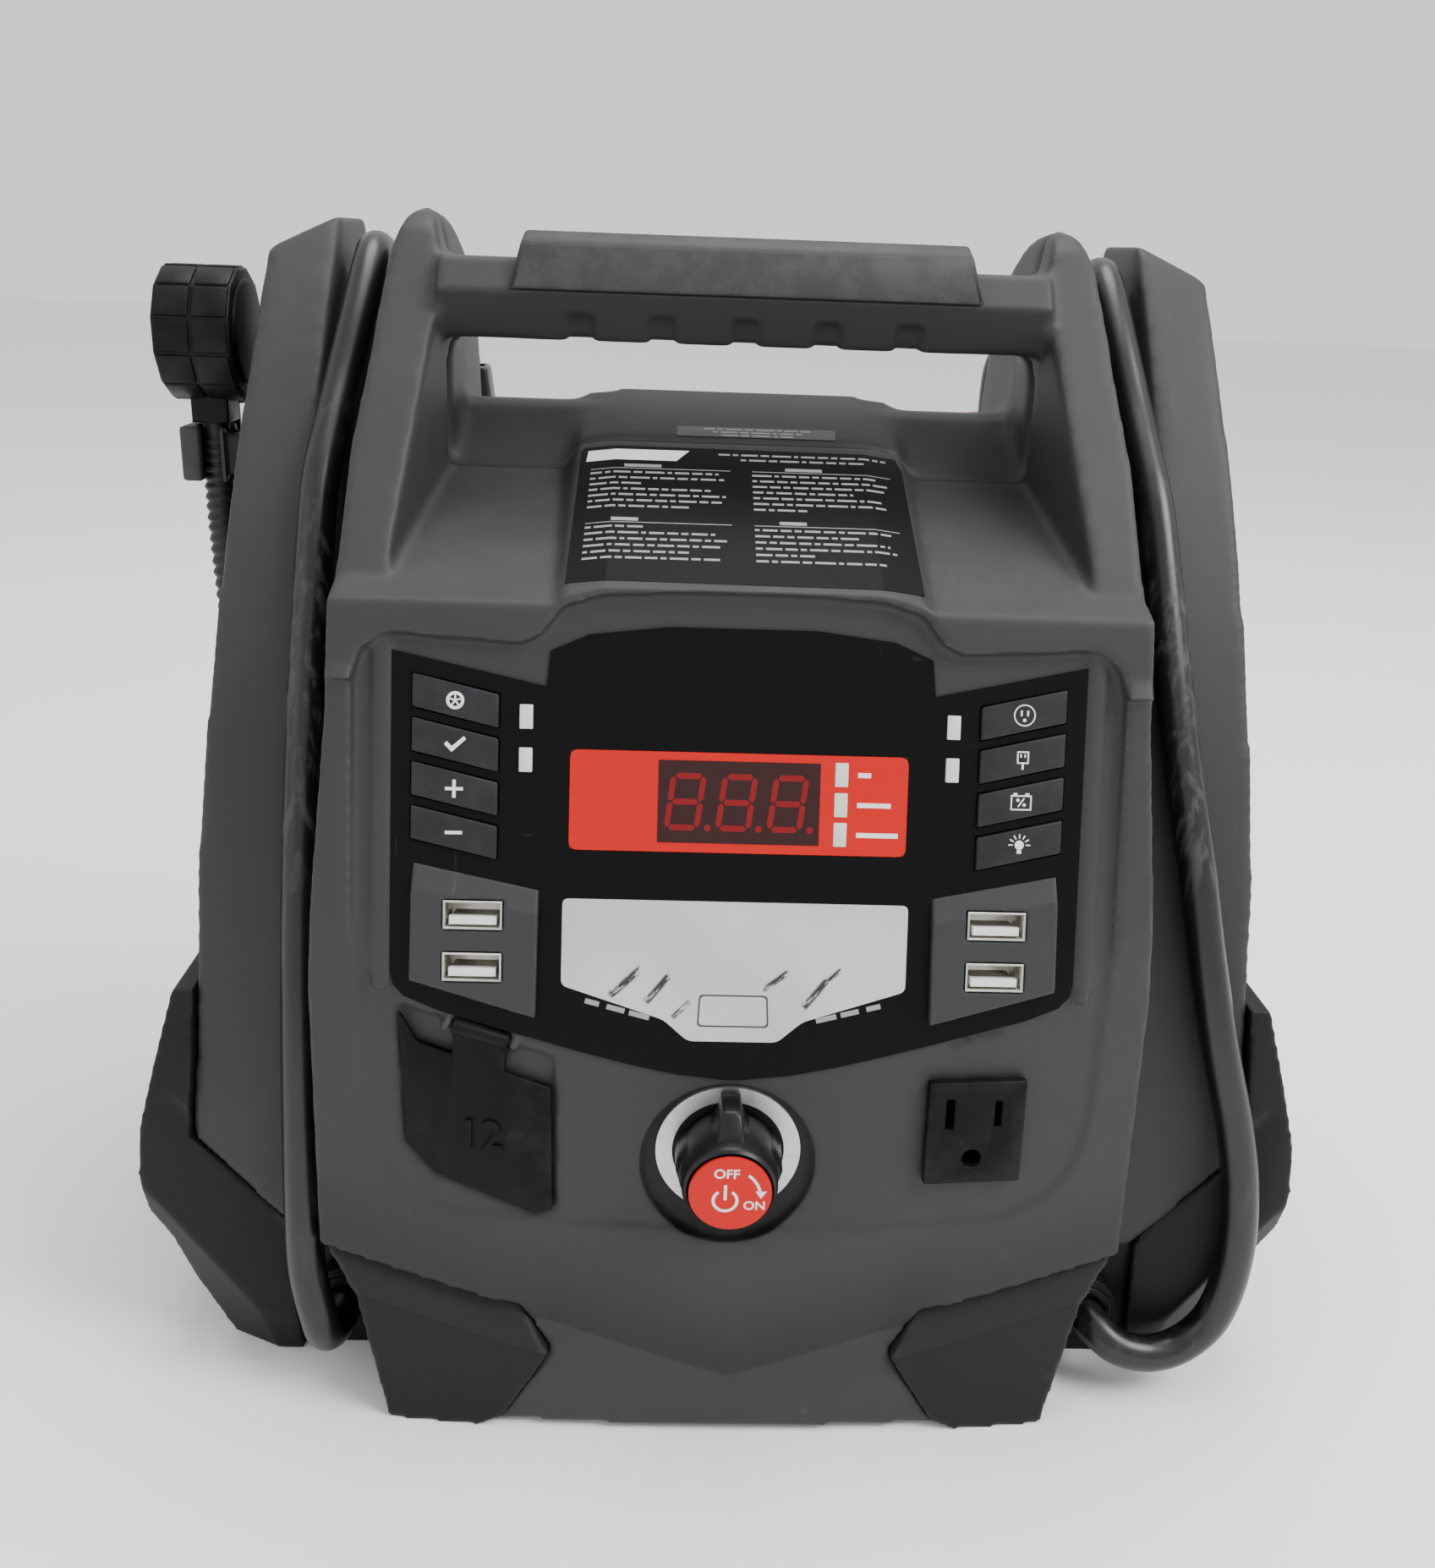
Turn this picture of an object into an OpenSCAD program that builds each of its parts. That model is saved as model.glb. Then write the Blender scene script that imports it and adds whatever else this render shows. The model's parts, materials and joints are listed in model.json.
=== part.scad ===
// Jump starter pack: battery pack with jumper clamps, air compressor, inverter, USB ports,
// a 12 V socket and a work light in a carry case with a top handle.
// Millimetres. X runs to the right, Y to the back and Z up. The origin is on the floor,
// in the middle of the width, under the middle of the case.

/* [Case] */
// Half width of the front shell at its lower edge
front_half_w = 106.5; // [105:0.5:107]
// Thickness of the case walls
wall = 3; // [2.5:0.1:3.4]
// Height of the front ridge above the control bay
ridge_z = 218; // [216:0.5:220]
// Lean of the raised frame round the bay, from upright
frame_lean = 14.3; // [14.1:0.1:14.5]
// Radius of the bowed lower front, seen from above
bow_r = 700; // [650:10:760]
// Lean of the bowed lower front, from upright
bow_lean = 4; // [3.8:0.1:4.2]
// Depth of the shallow step round the lower controls
bow_step = 1; // [0.8:0.1:1.2]
// Radius of the curved front face of the side wings
wing_r = 406; // [404:0.5:408]
// Half width over the wings at the top
wing_top_w = 135; // [134:0.5:136]
// Half width over the wings at mid height
wing_mid_w = 141; // [140:0.5:142]
// Height of the wing tips
wing_tip_z = 306; // [304:0.5:308]
// Distance of the rear face from the middle, at the floor
rear_y = 100; // [98:0.5:103]
// Lean of the rear face, from upright
rear_lean = 4.7; // [4.5:0.1:4.9]
// Thickness of the base plate
base_t = 3; // [2.5:0.1:3.5]

/* [Handle] */
// Height of the underside of the handle bar
bar_bottom_z = 275.5; // [274:0.5:277]
// Height of the bar itself
bar_h = 20.5; // [19.5:0.5:21.5]
// Depth of the bar, front to back
bar_d = 34; // [32:0.5:36]
// Number of finger notches
notch_count = 5; // [3:1:7]
// Distance between two finger notches
notch_pitch = 22; // [18:0.5:24]
// Height of the grip pad above the bar
pad_rise = 7; // [5:0.5:8]
// Half length of the grip pad
pad_half_l = 63; // [56:0.5:68]
// Height of the pillar tops
pillar_top_z = 308; // [307:0.5:309]
// Half width of the handle gap, between the pillars
gap_half_w = 79.5; // [79:0.1:80.5]

/* [Controls] */
// Lean of the control bay, from upright
panel_lean = 15.5; // [15.4:0.1:15.6]
// Height of the middle of the display
panel_z = 172; // [171.5:0.1:172.5]
// Width of a key
key_w = 21.1; // [18:0.1:21.6]
// Height of a key
key_h = 8.2; // [7:0.1:8.6]
// Distance between two keys in a column
key_pitch = 10.8; // [10.2:0.1:11.2]
// Distance of the key columns from the middle
key_x = 69.9; // [68.5:0.1:70.5]
// Travel of a key
key_travel = 0.8; // [0.6:0.1:1]
// How far a key stands out of the bay
key_rise = 1.8; // [1.6:0.1:2.2]
// Gap round each key
key_gap = 0.35; // [0.3:0.05:0.45]
// Thickness of the panel overlay
overlay_t = 0.6; // [0.5:0.1:0.8]
// Half width of the display window
window_half_w = 20; // [18:0.5:22]
// Half height of the display window
window_half_h = 10.2; // [9:0.1:11]
// Width of a USB socket shell
usb_w = 14.5; // [13.5:0.1:15]
// Height of a USB socket shell
usb_h = 7.1; // [6.5:0.1:7.5]
// Depth of a USB socket shell
usb_depth = 14; // [12:0.5:16]
// Distance between the two USB sockets of a bank
usb_pitch = 12.9; // [12:0.1:14]

/* [Sockets and switch] */
// Radius of the 12 V socket bore
socket_r = 10.5; // [10.3:0.1:10.8]
// Depth of the 12 V socket bore
socket_depth = 36; // [32:1:40]
// Wall of the 12 V socket
socket_wall = 2.5; // [2:0.1:3]
// Radius of the rotary knob at its foot
knob_r = 14; // [13:0.1:14.5]
// How far the knob stands out of the dial
knob_l = 17; // [15:0.5:19]
// Radius of the knob's shaft
knob_shaft_r = 4; // [3.5:0.1:4.5]
// Radius of the dial
dial_r = 18.5; // [17.5:0.1:19]
// Height of the knob's axis
knob_z = 84; // [83:0.5:85]
// Width of the outlet block
outlet_w = 25.5; // [24:0.5:26.5]
// Height of the outlet block
outlet_h = 28.5; // [27:0.5:30]
// How far the outlet block stands out
outlet_rise = 3; // [2:0.2:4]

/* [Cables and hose] */
// Diameter of the jumper cables
cable_d = 10; // [9:0.1:10.4]
// Diameter of the air hose between its ribs
hose_d = 8; // [7.5:0.1:8.2]
// Diameter of the air hose over its ribs
hose_rib_d = 10; // [9.6:0.1:10.2]
// Bore of the air hose
hose_bore = 4; // [3:0.1:5]
// Number of ribs on the air hose
hose_ribs = 64; // [40:1:80]

/* [Clamps] */
// Height of the clamp pivots
clamp_pivot_z = 178; // [176:1:180]
// How much lower the right clamp hangs
clamp_right_drop = 10; // [8:0.5:12]
// Distance of the clamp pivots from the middle
clamp_x = 64; // [62:0.5:65]
// Radius of the clamp pivot pins
clamp_pin_r = 3; // [2.6:0.1:3.4]
// Thickness of each clamp half
clamp_t = 12; // [11:0.5:12.5]

/* [Air chuck] */
// Radius of the chuck head
chuck_r = 19; // [18:0.5:19.5]
// Width of the chuck head
chuck_w = 24; // [22:0.5:25]
// Height of the middle of the chuck head
chuck_z = 271.5; // [271:0.5:273]

/* [Inside] */
// Width of the battery
battery_w = 181; // [170:1:186]
// Depth of the battery
battery_d = 77; // [70:1:78]
// Height of the battery
battery_h = 150; // [130:1:155]
// Radius of the fan opening
fan_r = 24; // [22:0.5:26]

/* [Hidden] */

$fn = 64;
eps = 0.01;
// gap at every seam between two mouldings
seam = 0.15;
// gap round a bought-in piece in its cut-out
fit = 0.3;
// running clearance of a pin or shaft in its bore
run = 0.06;
far = 200;

case_bottom_z = 2;
// front point of the bowed lower front at floor level
bow_y = -103.8;
// the raised frame meets the bow here
frame_z = 104;
frame_y = bow_y + frame_z * tan(bow_lean);
panel_y = frame_y + (panel_z - frame_z) * tan(frame_lean) + 2.56;
ridge_y = frame_y + (ridge_z - frame_z) * tan(frame_lean);
shoulder_z = 241;
crest = [18, 257.5];
split_y = 0;
wing_axis = [331.4, 23.8];
// half width of the front shell along its outer crease, from bottom to top
crease = [[front_half_w, 0], [front_half_w, 124], [front_half_w - 2.3, 155],
    [front_half_w - 5, 192], [front_half_w - 5.5, 224], [front_half_w - 6, 249],
    [front_half_w - 8.3, 268], [front_half_w - 9.5, 282], [front_half_w - 11.5, 298],
    [front_half_w - 14, 305], [front_half_w - 17, pillar_top_z]];
wing_in = front_half_w + 8.7;
hump_lean = 22.8;
hump_top_w = 44.5;
hump_foot_w = 50.5;

function frame_at(z) = frame_y + (z - frame_z) * tan(frame_lean);
function panel_at(z) = panel_y + (z - panel_z) * tan(panel_lean);
function bow_at(x, z, step = 0) = bow_y + step + z * tan(bow_lean) + x * x / (2 * bow_r);
function wing_at(z) = wing_axis[0] - sqrt(wing_r * wing_r - pow(z - wing_axis[1], 2));
function rear_at(z) = rear_y - z * tan(rear_lean);
function wing_x(z) = lookup(z, [[210, wing_mid_w - 3], [262, wing_top_w + 1.3]]);
function mirrored(points) = concat(points, [for (i = [len(points) - 1:-1:0]) [-points[i][0],
    points[i][1]]]);

// ---------- helpers ----------
// an outline in (y, z), carried along X
module side_prism(points, x0, x1)
    translate([x0, 0, 0]) rotate([90, 0, 90]) linear_extrude(x1 - x0) polygon(points);

// an outline in (x, z), carried along Y
module front_prism(points, y0, y1)
    translate([0, y1, 0]) rotate([90, 0, 0]) linear_extrude(y1 - y0) polygon(points);

// an outline in (x, y), carried up
module plan_prism(points, z0, z1)
    translate([0, 0, z0]) linear_extrude(z1 - z0) polygon(points);

module both() {
    children();
    mirror([1, 0, 0]) children();
}

module on_left() mirror([1, 0, 0]) children();

// the control bay: x across, y up the slope, z out of it
module on_panel() translate([0, panel_y, panel_z]) rotate([90 - panel_lean, 0, 0]) children();

// a place on the bowed lower front: x across, y up, z out of it
module on_bow(x, z)
    translate([x, bow_at(x, z, bow_step), z]) rotate([0, 0, asin(x / bow_r)]) rotate([90 - bow_lean, 0, 0])
        children();

// all that lies behind the bowed front, moved back by step
module behind_bow(step)
    translate([0, bow_y + step + bow_r / cos(bow_lean), 0]) rotate([-bow_lean, 0, 0])
        cylinder(h = 700, r = bow_r, center = true, $fn = 180);

module behind_wing_face(step = 0)
    translate([-far, wing_axis[0], wing_axis[1]]) rotate([0, 90, 0])
        cylinder(h = 2 * far, r = wing_r - step, $fn = 180);

// a bar between two points
module rod(a, b, r) {
    d = b - a;
    translate(a) rotate([0, acos(d[2] / norm(d)), atan2(d[1], d[0])]) cylinder(h = norm(d), r = r);
}

// ---------- front shell ----------
front_outline = mirrored([for (p = crease) if (p[1] < 250) p]);
bay_half_w = 95;
bay_outline = mirrored([[34, 62], [71, 63], [84, 69], [91, 78], [bay_half_w - 1, 92],
    [bay_half_w, 140], [bay_half_w, 199], [bay_half_w - 2, 206], [bay_half_w - 7, 210.5],
    [54, 208.5], [49, 211], [44, 217.5], [34, 220.5], [12, 221.5]]);

module front_block()
    intersection() {
        side_prism([[split_y, case_bottom_z], [-115, case_bottom_z], [frame_at(42), 42],
            [ridge_y, ridge_z], [split_y, shoulder_z]], -far, far);
        front_prism(front_outline, -120, split_y);
        behind_bow(0);
    }

// everything behind the bay floor and the stepped bow
module bay_block()
    intersection() {
        side_prism([[60, -20], [-130, -20], [panel_at(-20), -20], [panel_at(300), 300], [60, 300]],
            -far, far);
        behind_bow(bow_step);
    }

module hump(lift = 0, side = 0)
    intersection() {
        translate([0, ridge_y, ridge_z + 3.5 + lift]) rotate([90 - hump_lean, 0, 180])
            translate([0, 0, -30]) linear_extrude(190)
                polygon([[-hump_foot_w - side, -10], [-hump_top_w - side, -1.5], [-34, 0], [34, 0],
                    [hump_top_w + side, -1.5], [hump_foot_w + side, -10],
                    [hump_foot_w + side, -60], [-hump_foot_w - side, -60]]);
        side_prism([[frame_at(180), 180], [frame_at(300), 300], [19, 300], [29, 256], [80, 180]], -60, 60);
    }

pillar_profile = [[64, 180], [-74, 200], [-63.5, 214], [-62.3, 215], [1.5, 296.7], [6.5, 303],
    [13, 306.8], [21, pillar_top_z], [34, pillar_top_z - 1], [45, pillar_top_z - 5],
    [53, pillar_top_z - 13], [60, 280], [74, 236]];

module pillars()
    both() intersection() {
        side_prism(pillar_profile, 70, 110);
        front_prism([[front_half_w - 5.5, 196], for (p = crease) if (p[1] > 200) p,
            [86.5, pillar_top_z + 0.5], [84, pillar_top_z - 3], [82, 298], [gap_half_w, 288],
            [gap_half_w - 1, 196]], -80, 90);
        plan_prism([[114, -80], [89.5, -80], [87.5, -50], [gap_half_w + 2.5, -12], [gap_half_w, 4],
            [gap_half_w, 80], [114, 80]], 150, 320);
    }

bar_mid_y = 5;
bar_profile = [[bar_mid_y - bar_d / 2, bar_bottom_z + 12.5],
    [bar_mid_y - bar_d / 2 + 6, bar_bottom_z + bar_h],
    [bar_mid_y + bar_d / 2 - 6, bar_bottom_z + bar_h], [bar_mid_y + bar_d / 2, bar_bottom_z + 12.5],
    [bar_mid_y + bar_d / 2 - 7, bar_bottom_z], [bar_mid_y - bar_d / 2 + 7, bar_bottom_z]];

// an open groove under the bar and up its lower front face, from the bar's front and bottom
notch_w = 7.4;
notch_depth = 1.3;
notch_profile = [[-3, -3], [20, -3], [20, notch_depth], [7.8, notch_depth], [4.5, 7.2], [1.8, 5.7], [-3, 3]];

module handle_bar()
    difference() {
        side_prism(bar_profile, -gap_half_w - 2, gap_half_w + 2);
        for (i = [0:notch_count - 1])
            translate([(i - (notch_count - 1) / 2) * notch_pitch, bar_mid_y - bar_d / 2, bar_bottom_z])
                side_prism(notch_profile, -notch_w / 2, notch_w / 2);
    }

// the cut between the two shells, seen from the side
split_line = [[split_y, -10], [split_y, 268], [26, 314]];
module front_half(gap = 0)
    side_prism([for (p = split_line) [p[0] - gap, p[1]], [-140, 314], [-140, -10]], -far, far);
module rear_half(gap = 0)
    side_prism([for (p = split_line) [p[0] + gap, p[1]], [140, 314], [140, -10]], -far, far);

module front_cavity()
        intersection() {
            side_prism([[5, -5], [-130, -5], [panel_at(-5) + wall, -5],
                [panel_at(ridge_z - 7) + wall, ridge_z - 7], [5, shoulder_z - wall * 1.2 + 1.7]], -far,
                    far);
            front_prism(mirrored([[front_half_w - wall, -6], [front_half_w - wall, 124],
                [front_half_w - wall - 5.5, 192], [front_half_w - wall - 5.5, 240]]), -120, 5);
            behind_bow(bow_step + wall);
        }

foot_back_y = -62;
foot_outline = [[front_half_w + 1, 50.5], [53.6, 36], [45.3, 23], [57.7, 3], [64.5, 0],
    [front_half_w + 1, 0]];

// keys and what belongs to them, in the plane of the panel
key_slope = 0.23;
function key_shape(side, grow) = [
    [side * (key_x - key_w / 2 - grow), -key_h / 2 - key_slope * key_w / 2 - grow],
    [side * (key_x + key_w / 2 + grow), -key_h / 2 + key_slope * key_w / 2 - grow],
    [side * (key_x + key_w / 2 + grow), key_h / 2 + key_slope * key_w / 2 + grow],
    [side * (key_x - key_w / 2 - grow), key_h / 2 - key_slope * key_w / 2 + grow]];
key_mid_v = 6.85;
function key_v(row) = key_mid_v + (1.5 - row) * key_pitch;

module key_prism(side, row, grow, z0, z1)
    translate([0, key_v(row), z0]) linear_extrude(z1 - z0) polygon(key_shape(side, grow));

module all_key_holes(grow, z0, z1)
    for (side = [-1, 1], row = [0:3]) key_prism(side, row, grow, z0, z1);

pod_x = [48.8, 80.3];
pod_outline = [[pod_x[0], -23.3], [pod_x[0] + 0.3, -55], [pod_x[1], -46], [pod_x[1] - 0.4, -17]];
usb_x = 64.8;
usb_mid_v = -35.95;
function usb_v(row) = usb_mid_v + (row == 0 ? 1 : -1) * usb_pitch / 2;

module usb_holes(grow, z0, z1)
    for (side = [-1, 1], row = [0, 1])
        translate([side * usb_x - usb_w / 2 - grow, usb_v(row) - usb_h / 2 - grow, z0])
            cube([usb_w + 2 * grow, usb_h + 2 * grow, z1 - z0]);

light_bars = [[-52.7, 19.5], [-52.7, 8.9], [52.7, 19.5], [52.7, 8.9], [25.25, 7.1], [25.25, -0.4],
    [25.25, -7.8]];
light_w = 3.3;
light_h = 6;
module light_holes(grow, z0, z1)
    for (p = light_bars)
        translate([p[0] - light_w / 2 - grow, p[1] - light_h / 2 - grow, z0])
            cube([light_w + 2 * grow, light_h + 2 * grow, z1 - z0]);

module window_hole(grow, z0, z1)
    translate([-window_half_w - grow, -window_half_h - 0.45 - grow, z0])
        cube([2 * (window_half_w + grow), 2 * (window_half_h + grow), z1 - z0]);

// the two raised strips beside the overlay
rim_top_v = 37;
module rim_bars()
    on_panel() both() {
        translate([86.3, -49, -1]) cube([3.6, rim_top_v + 49, 2.2]);
        translate([88.1, rim_top_v, -1]) cylinder(h = 2.2, r = 1.8);
    }

socket_x = -64.5;
socket_z = 89;
outlet_x = 62.7;
outlet_z = 90.3;
// the knob's dish: depth of its floor in the middle, and how far it is set below the knob's axis
dish_depth = 1.6;
dish_drop = 3.5;
dish_r = dial_r + dish_drop + fit;
dial_floor_y = bow_at(0, knob_z, bow_step) + dish_depth;

cover_outline = [[-83.3, 118.5], [-79, 111], [-45, 100.5], [-44.7, 66], [-49.7, 65], [-74.8, 74.6],
    [-82.3, 83]];
cover_pocket = [[-84.2, 121.3], [-46, 109.3], [-44, 107.5], [-43.9, 65], [-49.8, 63.9], [-75.4, 73.7],
    [-83.2, 82.6]];
cover_t = 2.2;
cover_rise = 1.1;
cover_axis_y = bow_at(-62.8, 115, bow_step) - 0.9;
cover_axis_a = [-69.8, cover_axis_y, 116.8];
cover_axis_b = [-55.8, cover_axis_y, 112.5];
cover_barrel_r = 2;
cover_pin_r = 0.8;
ear_l = 2.5;
ear_play = 0.3;
cover_turn = atan((cover_axis_a[2] - cover_axis_b[2]) / (cover_axis_b[0] - cover_axis_a[0]));

// a round bar on the cover's hinge axis, longer by extra at both ends
module cover_rod(r, extra = 0) {
    way = unit(cover_axis_b - cover_axis_a);
    rod(cover_axis_a - extra * way, cover_axis_b + extra * way, r);
}

// the two ears on the case that hold the ends of the cover's pin
module cover_ear(foot)
    translate(foot) rotate([0, cover_turn, 0]) {
        translate([0, 0, -cover_barrel_r]) cube([ear_l - ear_play, 3.2, 2 * cover_barrel_r]);
        rotate([0, 90, 0]) cylinder(h = ear_l - ear_play, r = cover_barrel_r);
    }

module cover_ears() {
    way = unit(cover_axis_b - cover_axis_a);
    cover_ear(cover_axis_a - ear_l * way);
    cover_ear(cover_axis_b + ear_play * way);
}

module cover_bore() cover_rod(cover_pin_r + 0.02, ear_l + 1);

// thicker wall behind the knob's dish
module dish_back()
    intersection() {
        translate([0, dial_floor_y + wall, knob_z - dish_drop]) rotate([90, 0, 0])
            cylinder(h = 3 * wall, r = dish_r + wall);
        behind_bow(bow_step + wall / 3);
    }

module lower_cutouts() {
    // pocket of the 12 V cover
    intersection() {
        front_prism(cover_pocket, -120, -60);
        difference() {
            translate([-90, -120, 55]) cube([60, 60, 75]);
            behind_bow(bow_step + cover_t - cover_rise + 0.5);
        }
    }
    on_bow(socket_x, socket_z) translate([0, 0, -20]) cylinder(h = 30, r = socket_r + socket_wall + fit);
    on_bow(outlet_x, outlet_z) translate([-outlet_w / 2 + 1.5, -outlet_h / 2 + 1.5, -20])
        cube([outlet_w - 3, outlet_h - 3, 30]);
    // shallow round dish and the shaft hole of the knob
    translate([0, dial_floor_y, knob_z - dish_drop]) rotate([90, 0, 0]) cylinder(h = 20, r = dish_r);
    translate([0, bow_at(0, knob_z, bow_step) + 20, knob_z]) rotate([90, 0, 0])
        cylinder(h = 40, r = knob_shaft_r + 2.5);
    cover_rod(cover_barrel_r + 0.5, ear_play);
    // blind slot that mirrors the cover's hinge
    on_bow(61, 115.5) rotate([0, 0, 17]) translate([-7.5, -1.2, -1.5]) cube([15, 2.4, 10]);
}

module front_shell()
    color("dimgray") difference() {
        union() {
            difference() {
                union() {
                    shell_front_part();
                    dish_back();
                }
                lower_cutouts();
            }
            cover_ears();
        }
        cover_bore();
        gland_seats();
    }

module shell_front_part()
    difference() {
        union() {
            difference() {
                union() {
                    front_block();
                    intersection() { hump(); front_half(); }
                    intersection() { pillars(); front_half(); }
                    intersection() { handle_bar(); front_half(); }
                }
                difference() {
                    front_prism(bay_outline, -140, -20);
                    bay_block();
                }
            }
            rim_bars();
        }
        front_cavity();
        intersection() {
            translate([0, 0, -wall]) hump(0, -wall);
            translate([-60, ridge_y + 10, 190]) cube([120, 90, 100]);
        }
        both() front_prism(foot_outline, -140, foot_back_y);
        on_panel() {
            all_key_holes(key_gap, -12, 8);
            usb_holes(0.25, -12, 8);
            light_holes(0.2, -12, 8);
            window_hole(0.3, -12, 8);
        }
    }

// ---------- rear shell ----------
// the wing's lower edge, which the bumper meets
wing_seam = [[wing_mid_w + 3, 69.5], [front_half_w + 11, 41.5]];
// the same edge carried on into the lower body
wing_foot = [front_half_w + 9, 39.387];
wing_outline = [wing_foot, wing_seam[0], [wing_mid_w + 1.2, 92], [wing_mid_w, 120],
    [wing_mid_w, 148], [wing_mid_w - 3, 210], [wing_top_w + 1.3, 262], [wing_top_w, 296],
    [wing_in, wing_tip_z], [wing_in, 240], [front_half_w - 3, 240], [front_half_w - 3, wing_foot[1]]];

// all that lies in front of the leaning rear face
module before_rear(step = 0)
    side_prism([[-90, case_bottom_z], [rear_at(case_bottom_z) - step, case_bottom_z],
        [rear_at(wing_tip_z + 3) - step, wing_tip_z + 3], [-90, wing_tip_z + 3]], -far, far);

saddle_z = 289;
// the wings, and the saddles that carry the cables over to the back
module wings()
    intersection() {
        both() {
            front_prism(wing_outline, -90, 110);
            side_prism([[-90, 60], [-90, 236], [-16, 236], [36, saddle_z], [50, saddle_z],
                [60, saddle_z - 5], [80, 246], [110, 246], [110, 60]], gap_half_w + 10, wing_in + 2);
        }
        behind_wing_face();
    }

module wing_cavity()
    intersection() {
        front_prism([[front_half_w + wall + 0.4, 46], [115, 46], [wing_mid_w - wall, 70],
            [wing_mid_w - wall, 148], [wing_mid_w - wall - 3, 210],
            [wing_top_w - wall, 262], [wing_top_w - wall, 290], [wing_in + wall, 300],
            [wing_in + wall, 240], [front_half_w + wall + 0.4, 238]], -90, 110);
        behind_wing_face(wall);
        before_rear(wall);
    }

shelf_back_z = 243;
module rear_core()
    side_prism([[split_y, case_bottom_z - 5], [split_y, shoulder_z], crest, [crest[0] + 8, crest[1]],
        [rear_at(shelf_back_z) - 4, shelf_back_z], [rear_at(shelf_back_z) + 20, shelf_back_z - 24],
        [110, shelf_back_z - 24], [110, case_bottom_z - 5]], -front_half_w - 4, front_half_w + 4);

module rear_lower()
    side_prism([[foot_back_y, case_bottom_z - 5], [foot_back_y, 38], [wing_at(70) + 4, 72], [110, 72],
        [110, case_bottom_z - 5]], -wing_seam[1][0], wing_seam[1][0]);

module front_space(gap = seam)
    side_prism([[split_y + gap, -10], [-140, -10], [-140, 320], [26 + gap, 320], [split_y + gap, 268]],
        -front_half_w - gap, front_half_w + gap);

clamp_bay_depth = 20;
// floor of the clamp bay; the clamps lie just behind it
clamp_y = rear_at(110) - clamp_bay_depth;
clamp_bay = [[10, 96], [98, 96], [98, 262], [10, 262]];
module rear_cavity() {
    side_prism([[-100, -5], [-100, shoulder_z - 6], [split_y, shoulder_z - 5],
        [crest[0] - 1, crest[1] - 4.5],
        [crest[0] + 8, crest[1] - 4.5], [rear_at(236) - clamp_bay_depth - wall - 5, 236],
        [rear_at(92) - clamp_bay_depth - wall, 92],
        [rear_at(88) - wall - 1, 88], [rear_at(-5) - wall, -5]], -front_half_w + wall, front_half_w - wall);
    side_prism([[foot_back_y + wall, 5], [foot_back_y + wall, 38], [-60, 41], [rear_at(41) - wall, 41],
        [rear_at(5) - wall, 5]], 3.5 - wing_seam[1][0], wing_seam[1][0] - 3.5);
}

// places of the six case screws, on the rear face
screw_places = [for (s = [-1, 1], z = [30, 76]) [s * 86, z], [-4, 150], [4, 226]];
screw_r = 2;
screw_head_r = 3.8;
screw_boss_l = 16;

inlet_x = 34;
inlet_z = 50;
inlet_w = 48;
inlet_h = 30;
lamp_x = -40;
lamp_z = 50;
lamp_r = 21;

post_w = 9;
post_z = [112, 136];
module lowered() translate([0, 0, -clamp_right_drop]) children();
module clamp_post()
    translate([clamp_x - post_w / 2, clamp_y - 2, post_z[0]]) cube([post_w, 15, post_z[1] - post_z[0]]);
module clamp_posts() {
    on_left() clamp_post();
    lowered() clamp_post();
}

module on_rear(x, z)
    translate([x, rear_at(z), z]) rotate([90 - rear_lean, 0, 180]) children();

vent_count = 9;
fan_y = 8;
fan_z = 136;
fan_x = [8 - wing_mid_w, 16 - wing_mid_w];
fan_pin_r = 2;
// reaches from the fan to the inner wall of the wing
spindle_foot_l = 16;
module fan_vents(x)
    for (i = [0:vent_count - 1])
        translate([x - 10, fan_y - 25.5 + i * 6, fan_z - 18]) cube([20, 3, 36]);

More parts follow.
